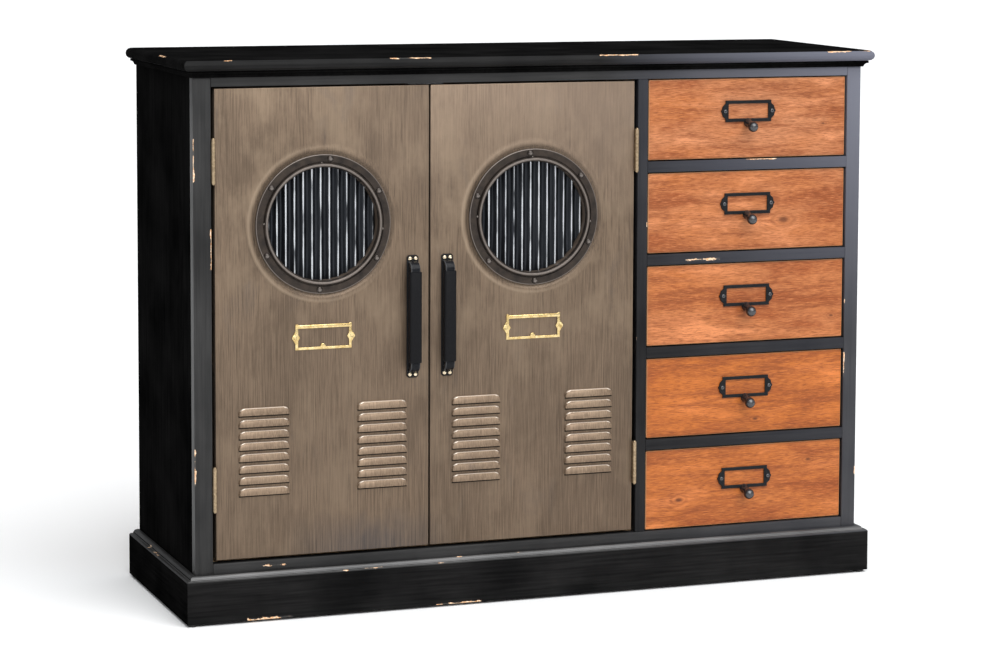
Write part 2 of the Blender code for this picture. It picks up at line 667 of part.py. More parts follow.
def make_hinge(side, level, sign, hinge_x, z, axis, finish):
    """Butt hinge. The sign is +1 where the door lies to the right of its axis."""
    half = HINGE_LENGTH / 2
    third = HINGE_LENGTH / 6
    place = (hinge_x, axis.location.y, z)
    outer = third + KNUCKLE_GAP / 2
    inner = third - KNUCKLE_GAP / 2
    pin, shell = HINGE_PIN_RADIUS, HINGE_BARREL_RADIUS
    sections = [(-half, shell), (-outer, shell), (-outer, pin), (outer, pin), (outer, shell), (half, shell)]
    frame_leaf = add_object(
        f"hinge_frame_leaf_{side}_{level}", barrel(sections), finish, place, None, SMOOTH_ANGLE
    )
    spans = [(-half, -outer), (outer, half)]
    join_or_cut(frame_leaf, leaf(-sign, spans, [(-outer, outer)]), "UNION")
    bore = HINGE_PIN_RADIUS + PIN_CLEARANCE
    rings = []
    for right, up in circle(1.0, HINGE_SEGMENTS):
        corners = ((bore, -inner), (shell, -inner), (shell, inner), (bore, inner))
        rings.append([(right * radius, up * radius, height) for radius, height in corners])
    door_leaf = add_object(
        f"hinge_door_leaf_{side}_{level}", loft(rings, closed=True), finish, place, axis, SMOOTH_ANGLE
    )
    join_or_cut(door_leaf, leaf(sign, [(-inner, inner)], [(-half, -inner), (inner, half)]), "UNION")


def make_door(side, sign, finishes):
    """One door on its hinge axis. The sign is +1 for the left door, whose hinges are at its left."""
    if sign > 0:
        hinge_x = OPENING_LEFT + DOOR_HINGE_GAP / 2
    else:
        hinge_x = CENTRE_STILE_LEFT - DOOR_HINGE_GAP / 2
    centre_x = hinge_x + sign * (DOOR_HINGE_GAP / 2 + DOOR_WIDTH / 2)
    axis = add_axis(f"door_{side}_axis", (hinge_x, FACE_Y - HINGE_AXIS_PROUD, (DOOR_BOTTOM + DOOR_TOP) / 2))
    make_door_core(side, centre_x, axis, finishes["core"])
    make_door_skin(side, centre_x, axis, finishes["skin"])
    make_porthole_ring(side, centre_x, axis, finishes["bronze"])
    make_grille(side, centre_x, axis, finishes["steel"])
    make_door_pull(side, sign, centre_x, axis, finishes["iron"])
    make_label_frame(side, centre_x, axis, finishes["brass"])
    make_hinge(side, "lower", sign, hinge_x, DOOR_BOTTOM + HINGE_INSET, axis, finishes["old_brass"])
    make_hinge(side, "upper", sign, hinge_x, DOOR_TOP - HINGE_INSET, axis, finishes["old_brass"])


# ---------------------------------------------------------------- drawers


def make_drawer_box(number, floor_z, axis, finish):
    """Open tray behind the drawer front."""
    left, right = DRAWERS_LEFT + DRAWER_BOX_PLAY, DRAWERS_RIGHT - DRAWER_BOX_PLAY
    front = DRAWER_FACE_Y + DRAWER_FRONT_THICKNESS + FIT
    back = PANEL_BACK_Y - DRAWER_BACK_GAP
    bottom = floor_z + FIT
    top = floor_z + DRAWER_OPENING_HEIGHT - DRAWER_HEAD_ROOM
    centre = Vector(((left + right) / 2, (front + back) / 2, bottom))
    half_width, half_depth = (right - left) / 2, (back - front) / 2

    def level(inset, z):
        x, y = half_width - inset, half_depth - inset
        return [(-x, -y, z), (x, -y, z), (x, y, z), (-x, y, z)]

    rise = top - bottom
    rings = [level(0, 0), level(0, rise), level(DRAWER_WALL, rise), level(DRAWER_WALL, DRAWER_FLOOR)]
    add_object(f"drawer_box_{number}", loft(rings), finish, centre, axis)


def knob():
    """Teardrop knob that stands out of the plane y = 0 and drops towards its tip."""
    ball_y = KNOB_REACH - KNOB_RADIUS
    sections = [(HOLDER_THICKNESS / 2, KNOB_ROOT_RADIUS), (KNOB_COLLAR, KNOB_COLLAR_RADIUS)]
    sections.append(((KNOB_COLLAR + ball_y) / 2, KNOB_NECK_RADIUS))
    for angle in KNOB_BALL_ANGLES:
        turn = math.radians(angle)
        sections.append((ball_y - KNOB_RADIUS * math.cos(turn), KNOB_RADIUS * math.sin(turn)))
    rings = []
    for out, radius in sections:
        drop = KNOB_DROP * min(1.0, out / ball_y)
        rings.append([(x, -out, z - drop) for x, z in circle(radius, KNOB_SEGMENTS)])
    return loft(rings + [[(0, -KNOB_REACH, -KNOB_DROP)]])


def make_drawer_pull(number, place, axis, finish):
    """Label holder whose lower edge carries a knob."""
    outline = eared_outline(HOLDER_WIDTH, HOLDER_HEIGHT, HOLDER_EAR, HOLDER_EAR_HEIGHT / 2)
    holder = plate(outline, 0.0, -HOLDER_THICKNESS)
    pull = add_object(f"drawer_label_pull_{number}", holder, finish, place, axis, SMOOTH_ANGLE)
    half, top = HOLDER_WINDOW_WIDTH / 2, HOLDER_WINDOW_HEIGHT / 2
    join_or_cut(pull, block((-half, -CUT_REACH, -top), (half, CUT_REACH, top)), "DIFFERENCE")
    join_or_cut(pull, moved(knob(), (0, 0, -KNOB_ROOT_DROP)), "UNION")


def make_drawer(number, finishes):
    """Drawer number 1 is the top one."""
    floor_z = OPENING_TOP - number * DRAWER_PITCH + DIVIDER_THICKNESS
    centre_x = (DRAWERS_LEFT + DRAWERS_RIGHT) / 2
    centre_z = floor_z + DRAWER_OPENING_HEIGHT / 2
    axis = add_axis(f"drawer_{number}_axis", (centre_x, DRAWER_FACE_Y, centre_z))
    low = (DRAWERS_LEFT + DRAWER_SIDE_GAP, DRAWER_FACE_Y, floor_z + DRAWER_HEIGHT_GAP)
    high_z = floor_z + DRAWER_OPENING_HEIGHT - DRAWER_HEIGHT_GAP
    high = (DRAWERS_RIGHT - DRAWER_SIDE_GAP, DRAWER_FACE_Y + DRAWER_FRONT_THICKNESS, high_z)
    add_board(f"drawer_front_{number}", low, high, finishes["drawer"], axis)
    make_drawer_box(number, floor_z, axis, finishes["inside"])
    place = (centre_x, DRAWER_FACE_Y - FIT, centre_z + HOLDER_RISE)
    make_drawer_pull(number, place, axis, finishes["iron"])


# ---------------------------------------------------------------- whole cabinet


def clear_scene():
    for obj in list(bpy.data.objects):
        bpy.data.objects.remove(obj, do_unlink=True)


def make_finishes():
    return {
        "paint": make_finish("black_paint", (0.026, 0.028, 0.032), 0.45),
        "inside": make_finish("bare_pine", (0.52, 0.36, 0.20), 0.7),
        "drawer": make_finish("stained_wood", (0.56, 0.17, 0.05), 0.4),
        "core": make_finish("door_board", (0.10, 0.075, 0.055), 0.7),
        "skin": make_finish("door_metal", (0.24, 0.18, 0.13), 0.38, 0.85),
        "bronze": make_finish("dark_bronze", (0.085, 0.062, 0.048), 0.35, 0.8),
        "steel": make_finish("bare_steel", (0.42, 0.44, 0.46), 0.3, 1.0),
        "iron": make_finish("black_iron", (0.02, 0.021, 0.024), 0.3, 0.6),
        "brass": make_finish("bright_brass", (0.62, 0.40, 0.12), 0.25, 1.0),
        "old_brass": make_finish("aged_brass", (0.33, 0.23, 0.10), 0.4, 0.9),
        "glide": make_finish("black_nylon", (0.02, 0.02, 0.02), 0.6),
    }


def main():
    clear_scene()
    finishes = make_finishes()
    make_top_board(finishes["paint"])
    make_top_moulding(finishes["paint"])
    make_case(finishes["paint"], finishes["inside"])
    make_face_frame(finishes["paint"])
    make_dividers(finishes["paint"])
    make_plinth(finishes["paint"])
    make_glides(finishes["glide"])
    make_shelf(finishes["inside"])
    make_catch(finishes["steel"])
    make_door("left", 1, finishes)
    make_door("right", -1, finishes)
    for number in range(1, DRAWER_COUNT + 1):
        make_drawer(number, finishes)


main()
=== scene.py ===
"""Sideboard with two metal-faced cupboard doors and a column of five drawers.

Builds the finished look of the cabinet round its fixed frame: painted and worn boards, brushed
metal door faces with portholes and louvres, stained drawer fronts, and their iron and brass
fittings. Metres, +Z up, the front faces -Y.
"""

import math

import bmesh
import bpy
import numpy as np
from bpy.props import FloatProperty, FloatVectorProperty, IntProperty, PointerProperty
from mathutils import Matrix, Vector


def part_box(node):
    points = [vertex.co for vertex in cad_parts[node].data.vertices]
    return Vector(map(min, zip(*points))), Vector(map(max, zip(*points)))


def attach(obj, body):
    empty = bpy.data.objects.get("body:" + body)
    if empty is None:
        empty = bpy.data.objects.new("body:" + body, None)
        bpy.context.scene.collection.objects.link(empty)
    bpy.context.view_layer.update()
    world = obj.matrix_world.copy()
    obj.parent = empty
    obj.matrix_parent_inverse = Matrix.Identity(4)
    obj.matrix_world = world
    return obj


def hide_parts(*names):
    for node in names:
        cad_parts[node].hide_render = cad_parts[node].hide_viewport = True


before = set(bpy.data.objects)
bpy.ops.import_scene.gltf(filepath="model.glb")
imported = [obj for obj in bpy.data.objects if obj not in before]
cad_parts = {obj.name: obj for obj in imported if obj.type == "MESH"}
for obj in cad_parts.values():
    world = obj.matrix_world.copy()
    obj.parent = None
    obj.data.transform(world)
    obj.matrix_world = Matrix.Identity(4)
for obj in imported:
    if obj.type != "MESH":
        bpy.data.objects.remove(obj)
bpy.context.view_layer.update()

bl_info = {
    "name": "Porthole sideboard",
    "version": (1, 0, 0),
    "blender": (4, 5, 0),
    "location": "View3D > Sidebar > Sideboard",
    "description": "Finishes a painted sideboard with metal-faced doors and five drawers",
    "category": "Add Mesh",
}

SIDES = ("left", "right")
DRAWERS = range(1, 6)
CASE = "case"
X, Y, Z = 0, 1, 2

# ---------------------------------------------------------------- places read from the frame


def middle(node):
    low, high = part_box(node)
    return (low + high) / 2


def back_middle(node):
    """Middle of the back face of a frame piece."""
    low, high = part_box(node)
    return Vector(((low.x + high.x) / 2, high.y, (low.z + high.z) / 2))


SHEET_PROUD = 0.0013  # how far a door's sheet stands in front of its board
FACE_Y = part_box("stile_left")[0].y
DOOR_FACE_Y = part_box("door_core_left")[0].y - SHEET_PROUD
RING_BACK_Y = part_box("porthole_ring_left")[1].y
GRILLE_FRONT_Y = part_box("grille_left")[0].y


# ---------------------------------------------------------------- handling pieces


def put_down():
    """Back to object mode with nothing selected."""
    if bpy.context.view_layer.objects.active and bpy.context.mode != "OBJECT":
        bpy.ops.object.mode_set(mode="OBJECT")
    bpy.ops.object.select_all(action="DESELECT")


def pick_up(*pieces):
    """Only these pieces selected, with the first one active."""
    put_down()
    for piece in pieces:
        piece.select_set(True)
    bpy.context.view_layer.objects.active = pieces[0]


def open_up(piece, mode="FACE", whole=False):
    """Edit mode on one piece, with all or none of it selected."""
    pick_up(piece)
    bpy.ops.object.mode_set(mode="EDIT")
    bpy.ops.mesh.select_mode(type=mode)
    bpy.ops.mesh.select_all(action="SELECT" if whole else "DESELECT")


def choose(piece, mode, test):
    """In edit mode, select the corners, edges or faces that pass the test."""
    bpy.ops.mesh.select_mode(type=mode)
    bpy.ops.mesh.select_all(action="DESELECT")
    shape = bmesh.from_edit_mesh(piece.data)
    parts = {"VERT": shape.verts, "EDGE": shape.edges, "FACE": shape.faces}[mode]
    for part in parts:
        if test(part):
            part.select_set(True)
    shape.select_flush_mode()
    bmesh.update_edit_mesh(piece.data)


def centre_of(part):
    """Middle of an edge or face."""
    corners = [corner.co for corner in part.verts]
    return sum(corners, Vector()) / len(corners)


def runs(edge, axis):
    """Whether an edge lies along X (0), Y (1) or Z (2)."""
    way = edge.verts[1].co - edge.verts[0].co
    return abs(way[axis]) > 0.999 * way.length


def faces(face, axis, sign):
    return sign * face.normal[axis] > 0.9


def named(piece, name):
    piece.name = name
    piece.data.name = name
    return piece


def settle(piece, name):
    """Places a new piece in its mesh, so that its object stands at the origin."""
    pick_up(piece)
    bpy.ops.object.transform_apply(location=True, rotation=True, scale=True)
    return named(piece, name)


def block(name, low, high):
    low, high = Vector(low), Vector(high)
    put_down()
    bpy.ops.mesh.primitive_cube_add(size=1, location=(low + high) / 2, scale=high - low)
    return settle(bpy.context.object, name)


def beside(place, x, y, z):
    return place + Vector((x, y, z))


def rod(name, place, radius, length, vertices=24):
    """Cylinder lying along Y about its middle."""
    put_down()
    bpy.ops.mesh.primitive_cylinder_add(
        vertices=vertices, radius=radius, depth=length, location=place, rotation=(math.pi / 2, 0, 0)
    )
    return settle(bpy.context.object, name)


def drawn(name, points, closed=False):
    """Line of points, ready to be filled, extruded or spun."""
    count = len(points)
    edges = [(i, (i + 1) % count) for i in range(count if closed else count - 1)]
    mesh = bpy.data.meshes.new(name)
    mesh.from_pydata([tuple(p) for p in points], edges, [])
    piece = bpy.data.objects.new(name, mesh)
    bpy.context.scene.collection.objects.link(piece)
    return piece


def push(offset):
    """Extrudes what is selected."""
    bpy.ops.mesh.extrude_region_move(TRANSFORM_OT_translate={"value": tuple(offset)})


def shift(offset):
    bpy.ops.transform.translate(value=tuple(offset))


def scale(factors, about):
    bpy.ops.transform.resize(value=tuple(factors), center_override=tuple(about))


def modify(piece, kind, **settings):
    """Adds a modifier and applies it."""
    pick_up(piece)
    modifier = piece.modifiers.new(kind.title(), kind)
    for key, value in settings.items():
        setattr(modifier, key, value)
    bpy.ops.object.modifier_apply(modifier=modifier.name)


def round_edges(piece, width, segments=2, angle=50, profile=0.5):
    modify(
        piece,
        "BEVEL",
        width=width,
        segments=segments,
        profile=profile,
        limit_method="ANGLE",
        angle_limit=math.radians(angle),
        use_clamp_overlap=True,
    )


def tidy(piece, gap=0.00002):
    """Merges what touches and turns every face outwards."""
    open_up(piece, "VERT", whole=True)
    bpy.ops.mesh.remove_doubles(threshold=gap)
    bpy.ops.mesh.normals_make_consistent(inside=False)
    put_down()


def copied(piece, name, offset):
    """Copy with its own mesh, moved to its place."""
    pick_up(piece)
    bpy.ops.object.duplicate()
    twin = bpy.context.object
    twin.location = offset
    return settle(twin, name)


def joined(name, *pieces):
    pick_up(*pieces)
    if len(pieces) > 1:
        bpy.ops.object.join()
    return named(bpy.context.object, name)


def traced(node, name):
    """Merged copy of a frame piece, with its flat faces whole again."""
    piece = bpy.data.objects.new(name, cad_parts[node].data.copy())
    bpy.context.scene.collection.objects.link(piece)
    piece.data.materials.clear()
    open_up(piece, "VERT", whole=True)
    bpy.ops.mesh.customdata_custom_splitnormals_clear()
    bpy.ops.mesh.remove_doubles(threshold=0.00001)
    bpy.ops.mesh.dissolve_limited(angle_limit=math.radians(0.5))
    put_down()
    return named(piece, name)


def hand_over(piece, body, slot, finish, *nodes, smooth=35):
    """Gives a piece its finish, its body, and the frame pieces that it stands for."""
    pick_up(piece)
    bpy.ops.object.shade_smooth_by_angle(angle=math.radians(smooth))
    piece.data.materials.clear()
    piece.data.materials.append(finish)
    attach(piece, body)
    if nodes:
        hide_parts(*nodes)
    return piece


# ---------------------------------------------------------------- wear


def mark(piece, name, values):
    attribute = piece.data.attributes.new(name, "FLOAT", "POINT")
    attribute.data.foreach_set("value", np.asarray(values, np.float32))


def corners_of(piece):
    places = np.zeros(len(piece.data.vertices) * 3)
    piece.data.vertices.foreach_get("co", places)
    return places.reshape(-1, 3)


def mark_wear(piece, chips):
    """Stores how near each corner is to a chipped stretch, from 1 on it to 0 a radius away."""
    places = corners_of(piece)
    wear_and_highlight = np.zeros(len(places))
    for start, end, radius in chips:
        start, end = np.array(start), np.array(end)
        way = end - start
        share = np.clip(((places - start) @ way) / max(way @ way, 1e-9), 0, 1)
        distance = np.linalg.norm(places - start - share[:, None] * way, axis=1)
        wear_and_highlight = np.maximum(wear_and_highlight, 1 - distance / radius)
    mark(piece, "wear_and_highlight", wear_and_highlight)


def score(piece, axis, places):
    """Cuts a piece across at these places along one axis, so that wear can change between them."""
    reach = corners_of(piece)[:, axis]
    low, high = reach.min() + 0.0004, reach.max() - 0.0004
    normal = [0, 0, 0]
    normal[axis] = 1
    open_up(piece, "FACE")
    for place in sorted(set(round(place, 4) for place in places)):
        if low < place < high:
            point = [0, 0, 0]
            point[axis] = place
            bpy.ops.mesh.select_all(action="SELECT")
            bpy.ops.mesh.bisect(plane_co=point, plane_no=normal)
    put_down()


def score_chips(piece, chips, step):
    """Cuts a piece finely round each chipped stretch that reaches it."""
    places = corners_of(piece)
    low, high = places.min(axis=0), places.max(axis=0)
    cuts = [[], [], []]
    for start, end, radius in chips:
        near, far = np.minimum(start, end), np.maximum(start, end)
        if (near - radius > high).any() or (far + radius < low).any():
            continue
        for axis in range(3):
            if far[axis] > near[axis]:
                count = math.ceil((far[axis] - near[axis] + 2 * radius) / step)
                cuts[axis] += list(np.linspace(near[axis] - radius, far[axis] + radius, count + 1))
            else:
                cuts[axis] += [near[axis] + radius * share for share in (-1, -0.5, 0, 0.5, 1)]
    for axis in range(3):
        score(piece, axis, cuts[axis])


# ---------------------------------------------------------------- finishes


class Recipe:
    """Nodes of one finish. Every pattern is laid on the piece's own Object coordinates."""

    def __init__(self, name):
        self.finish = bpy.data.materials.new(name)
        self.finish.use_nodes = True
        self.tree = self.finish.node_tree
        self.shader = self.tree.nodes["Principled BSDF"]
        self.place = self.tree.nodes.new("ShaderNodeTexCoord").outputs["Object"]

    def feed(self, socket, value):
        if isinstance(value, bpy.types.NodeSocket):
            self.tree.links.new(value, socket)
        elif socket.type == "RGBA":
            socket.default_value = (*value, 1)
        else:
            socket.default_value = value

    def add(self, kind, inputs, output=0, **settings):
        node = self.tree.nodes.new(kind)
        for key, value in settings.items():
            setattr(node, key, value)
        for key, value in inputs.items():
            self.feed(node.inputs[key], value)
        return node.outputs[output]

    def lay(self, stretch, at=(0, 0, 0), place=None):
        """Coordinates stretched by a factor along each axis, after a move."""
        inputs = {"Vector": place or self.place, "Location": at, "Scale": stretch}
        return self.add("ShaderNodeMapping", inputs)

    def noise(self, scale, place=None, detail=4, rough=0.5, twist=0.0):
        inputs = {
            "Vector": place or self.place,
            "Scale": scale,
            "Detail": detail,
            "Roughness": rough,
            "Distortion": twist,
        }
        return self.add("ShaderNodeTexNoise", inputs, "Fac")

    def fade(self, value, low, high, to_low=0.0, to_high=1.0):
        """Value carried over from one range to another, and held at its ends."""
        inputs = {0: value, 1: low, 2: high, 3: to_low, 4: to_high}
        return self.add("ShaderNodeMapRange", inputs)

    def reckon(self, how, *values):
        return self.add("ShaderNodeMath", dict(enumerate(values)), operation=how)

    def sum(self, *values):
        return self.reckon("ADD", *values)

    def less(self, *values):
        return self.reckon("SUBTRACT", *values)

    def times(self, *values):
        return self.reckon("MULTIPLY", *values)

    def coats(self, colour, *coats):
        """Colours laid over the first one in order, each given as (share, colour)."""
        for share, coat in coats:
            inputs = {0: share, 6: colour, 7: coat}
            colour = self.add("ShaderNodeMix", inputs, 2, data_type="RGBA")
        return colour

    def apart(self, place):
        node = self.tree.nodes.new("ShaderNodeSeparateXYZ")
        self.feed(node.inputs[0], place)
        return node.outputs

    def stored(self, name):
        return self.add("ShaderNodeAttribute", {}, "Fac", attribute_name=name)

    def bump(self, height, depth, strength=1.0, under=None):
        inputs = {"Height": height, "Distance": depth, "Strength": strength}
        if under:
            inputs["Normal"] = under
        return self.add("ShaderNodeBump", inputs)

    def serve(self, colour, roughness, normal, **sockets):
        given = {"Base Color": colour, "Roughness": roughness, "Normal": normal}
        for key, value in {**given, **sockets}.items():
            self.feed(self.shader.inputs[key.replace("_", " ")], value)
        return self.finish


def along(axis, squeeze):
    """Stretch factors for a grain that runs along one axis."""
    return tuple(squeeze if i == axis else 1.0 for i in range(3))


PAINTED_LIGHT_ACROSS = (0.10, 0.58)  # where the painted light on the paint begins and ends, from left to right
PAINTED_LIGHT_UP = (0.42, 0.86)  # and from below to above
RUBBED_PAINT = (0.10, 0.095, 0.09)
PALE_BARE_WOOD = (0.86, 0.66, 0.48)


def worn_paint(name, axis, settings, shade=1.0, gloss=None, painted_light_share=0.0):
    """Black paint over pine, brushed along the board, rubbed and chipped where the stored wear says so,
    with painted light: paler and cooler towards the right and the top.
    """
    gloss = settings.paint_gloss if gloss is None else gloss
    r = Recipe(name)
    brush = r.noise(260, r.lay(along(axis, 0.03)), detail=5, rough=0.6)
    cloud = r.noise(9, detail=3)
    speck = r.noise(420, detail=3, rough=0.6)
    torn = r.noise(150, r.lay(along(axis, 0.45)), detail=4, rough=0.62)
    wear_and_highlight = r.stored("wear_and_highlight")
    across, _, height = r.apart(r.place)
    # Painted light: paler, cooler paint towards the right and the top, where the light falls.
    painted_light = r.times(r.fade(across, *PAINTED_LIGHT_ACROSS, 0.0, painted_light_share), r.fade(height, *PAINTED_LIGHT_UP, 0.1, 0.70))
    rubbed_and_highlight = r.fade(r.sum(wear_and_highlight, r.times(speck, 0.6)), 0.55, 1.0, 0.0, 0.4)
    edge = r.sum(wear_and_highlight, r.times(r.less(torn, 0.5), 3.4))
    bare_and_highlight = r.times(r.fade(edge, 0.60, 0.66), r.fade(wear_and_highlight, 0.02, 0.12))
    wood = r.coats(settings.bare_wood, (r.fade(speck, 0.38, 0.58), PALE_BARE_WOOD))
    colour = r.coats(
        Vector(settings.paint_dark) * shade,
        (r.fade(r.times(brush, cloud), 0.12, 0.38), Vector(settings.paint_light) * shade),
        (painted_light, settings.painted_light_tint),
        (rubbed_and_highlight, RUBBED_PAINT),
        (bare_and_highlight, wood),
    )
    roughness = r.fade(brush, 0.3, 0.7, 0.42, 0.6)
    normal = r.bump(brush, 0.00025, 0.5)
    normal = r.bump(r.times(bare_and_highlight, -1.0), 0.0006, 0.6, normal)
    return r.serve(colour, roughness, normal, Specular_IOR_Level=gloss)


def pine(name, axis, pale, dark, roughness=0.62):
    """Bare softwood with its grain along one axis."""
    r = Recipe(name)
    grain = r.noise(110, r.lay(along(axis, 0.05)), detail=6, rough=0.6, twist=0.4)
    rings = r.noise(24, r.lay(along(axis, 0.07)), detail=3, twist=1.2)
    pores = r.noise(900, r.lay(along(axis, 0.04)), detail=2)
    figure = r.fade(r.sum(grain, rings), 0.7, 1.3)
    colour = r.coats(pale, (figure, dark), (r.fade(pores, 0.55, 0.8, 0, 0.35), dark))
    normal = r.bump(r.sum(grain, pores), 0.0003, 0.35)
    return r.serve(colour, r.fade(grain, 0.3, 0.7, roughness, roughness + 0.15), normal)


# Painted highlight along a drawer front's edges.
FRONT_EDGE_HIGHLIGHT = (0.72, 0.40, 0.20)


def stained_wood(number, settings, knots, tone):
    """Stained drawer front. Each knot is (x, z, radius) from the middle of the front."""
    r = Recipe(f"stained_wood_{number}")
    centre = middle(f"drawer_front_{number}")
    x, y, z = r.apart(r.place)
    swirl, core, halo = 0.0, 0.0, 0.0
    for knot_x, knot_z, radius in knots:
        wide = r.times(r.less(x, centre.x + knot_x), 0.55)
        up = r.less(z, centre.z + knot_z)
        reach = r.reckon("SQRT", r.sum(r.times(wide, wide), r.times(up, up)))
        near = r.fade(reach, radius * 4.5, radius * 0.3)
        bend = r.times(r.times(near, near), r.reckon("SIGN", up))
        swirl = r.sum(swirl, r.times(bend, radius * 1.1))
        core = r.reckon("MAXIMUM", core, r.fade(reach, radius * 0.8, radius * 0.1))
        waves = r.reckon("SINE", r.times(reach, math.tau * 1.1 / radius))
        fading = r.fade(reach, radius * 2.2, radius * 0.4, 0.0, 0.5)
        halo = r.reckon("MAXIMUM", halo, r.times(r.fade(waves, -0.4, 0.9), fading))
    spread = r.add("ShaderNodeCombineXYZ", {0: x, 1: y, 2: r.less(z, swirl)})
    grain = r.lay((0.085, 1.0, 1.0), (number * 1.7, 0, 0), spread)
    fine = r.noise(760, grain, detail=5, rough=0.72, twist=0.1)
    bands = r.noise(95, grain, detail=5, rough=0.6, twist=0.5)
    patches = r.lay((0.28, 1.0, 1.3), (number * 5.3, 0, 1))
    patch = r.noise(17, patches, detail=4, rough=0.6, twist=0.4)
    blotch = r.noise(9, r.lay((0.55, 1.0, 1.5), (number * 3.1, 0, 0)), detail=3, rough=0.55)
    # Painted highlight: a pale line along the front's edges, from the stored mark.
    rim = r.fade(r.sum(r.stored("wear_and_highlight"), r.times(fine, 0.5)), 0.75, 1.2, 0.0, 0.75)
    light, deep = Vector(settings.stain_light), Vector(settings.stain_deep)
    pink = Vector(settings.stain_pink)
    pale = light.lerp(pink, min(1.0, tone + 0.2))
    colour = r.coats(
        light.lerp(pink, tone),
        (r.fade(blotch, 0.38, 0.64), light.lerp(pink, tone * 0.4)),
        (r.fade(patch, 0.50, 0.64, 0.0, 0.9), deep * 1.25),
        (r.fade(patch, 0.46, 0.34, 0.0, 0.75), pale * 1.55),
        (r.fade(bands, 0.46, 0.66, 0.0, 0.7), deep),
        (r.fade(fine, 0.50, 0.64, 0.0, 0.8), deep * 0.75),
        (r.fade(fine, 0.48, 0.34, 0.0, 0.55), pale * 1.45),
        (halo, deep * 0.8),
        (r.times(core, 0.7), deep * 0.3),
        (rim, FRONT_EDGE_HIGHLIGHT),
    )
    roughness = r.fade(fine, 0.3, 0.7, 0.34, 0.5)
    normal = r.bump(r.sum(fine, bands), 0.0003, 0.3)
    return r.serve(colour, roughness, normal, Specular_IOR_Level=0.4)


DAMP_X = -0.29  # middle of the mark that damp has left at the foot of the left door
DAMP_TOP = 0.205


def brushed_metal(name, settings, lighter=1.0):
    """Sheet brushed upright, with cloudy tarnish, a mark of damp, paler towards the top left and darker
    towards the bottom, and painted shade and painted highlight from the halo mark.
    """
    r = Recipe(name)
    hair = r.noise(1250, r.lay((1, 1, 0.010)), detail=4, rough=0.65)
    streak = r.noise(640, r.lay((1, 1, 0.030)), detail=5, rough=0.75, twist=0.1)
    cloud = r.noise(8, r.lay((1.3, 1, 0.7)), detail=5, rough=0.6, twist=0.6)
    stain = r.noise(16, r.lay((1, 1, 0.6), (3, 0, 7)), detail=5, rough=0.6)
    smudge = r.noise(11, r.lay((1.6, 1, 0.8), (5, 0, 2)), detail=4, rough=0.6, twist=0.8)
    halo = r.stored("halo")
    across, _, height = r.apart(r.place)
    pale = r.times(r.fade(height, 0.62, 0.82), r.fade(across, -0.45, 0.12, 0.0, 0.4))
    aside = r.reckon("ABSOLUTE", r.less(across, DAMP_X))
    ragged = r.sum(height, r.times(smudge, 0.08))
    damp = r.times(r.fade(aside, 0.15, 0.03), r.fade(ragged, DAMP_TOP, DAMP_TOP - 0.05))
    bright, dull = Vector(settings.metal_bright) * lighter, Vector(settings.metal_dull) * lighter
    colour = r.coats(
        dull,
        (r.fade(streak, 0.36, 0.64), bright),
        (r.fade(cloud, 0.44, 0.66, 0.0, 0.75), dull * 0.85),
        (r.fade(stain, 0.48, 0.68, 0.0, 0.6), Vector((0.25, 0.185, 0.125)) * lighter),
        (r.fade(smudge, 0.60, 0.78, 0.0, 0.5), Vector((0.075, 0.068, 0.066)) * lighter),
        (r.fade(height, 0.60, 0.36, 0.0, 0.45), dull),
        (pale, (0.36, 0.27, 0.21)),
        (r.times(damp, 0.8), (0.055, 0.051, 0.054)),
        # Painted shade in a dark band round the ring, and painted highlight on the dish's lit side, the
        # sheet's right edge and the louvres' shoulders.
        (r.fade(halo, 0.0, -1.0, 0.0, 0.6), dull * 0.4),
        (r.fade(halo, 0.0, 1.0, 0.0, 0.45), (0.40, 0.31, 0.22)),
        (r.fade(hair, 0.40, 0.60, 0.0, 0.34), bright * 1.5),
        (r.fade(halo, 1.0, 1.7), (0.84, 0.75, 0.66)),
    )
    roughness = r.sum(r.fade(cloud, 0.35, 0.7, 0.36, 0.5), r.fade(hair, 0.3, 0.7, -0.05, 0.08))
    normal = r.bump(hair, 0.00012, 0.35)
    normal = r.bump(cloud, 0.004, 0.12, normal)
    return r.serve(colour, roughness, normal, Metallic=0.6)


METALS = {  # bright, tarnished, metallic, smoothest, roughest, size of grain, gloss
    "catch_steel": ((0.45, 0.46, 0.48), (0.25, 0.26, 0.28), 1.0, 0.28, 0.45, 180, 0.5),
    "black_nylon": ((0.02, 0.02, 0.02), (0.012, 0.012, 0.012), 0.0, 0.5, 0.7, 400, 0.5),
    # dark strip under each louvre: its opening and painted shadow
    "louvre_gap_shadow": ((0.030, 0.024, 0.019), (0.016, 0.013, 0.010), 0.0, 0.7, 0.9, 180, 0.0),
    "dark_bronze": ((0.046, 0.034, 0.026), (0.016, 0.012, 0.010), 0.6, 0.32, 0.5, 60, 0.5),
    "screw_bronze": ((0.060, 0.048, 0.040), (0.022, 0.018, 0.016), 0.6, 0.14, 0.26, 300, 0.5),
    "black_lacquer": ((0.010, 0.011, 0.013), (0.006, 0.006, 0.008), 0.0, 0.12, 0.2, 300, 0.12),
    "black_plate": ((0.012, 0.012, 0.013), (0.007, 0.007, 0.008), 0.0, 0.4, 0.55, 500, 0.12),
    "black_grip": ((0.010, 0.010, 0.011), (0.006, 0.006, 0.007), 0.0, 0.4, 0.55, 500, 0.08),
    "screw_brass": ((0.95, 0.84, 0.64), (0.70, 0.56, 0.36), 1.0, 0.18, 0.35, 400, 0.5),
    "bright_brass": ((0.95, 0.76, 0.40), (0.60, 0.41, 0.15), 1.0, 0.16, 0.32, 120, 0.5),
    "aged_brass": ((0.50, 0.38, 0.24), (0.26, 0.19, 0.12), 0.9, 0.3, 0.5, 250, 0.5),
    "cast_iron": ((0.014, 0.015, 0.017), (0.006, 0.007, 0.008), 0.0, 0.25, 0.45, 260, 0.12),
    "iron_polished": ((0.022, 0.023, 0.026), (0.006, 0.007, 0.008), 0.3, 0.06, 0.2, 420, 0.9),
}


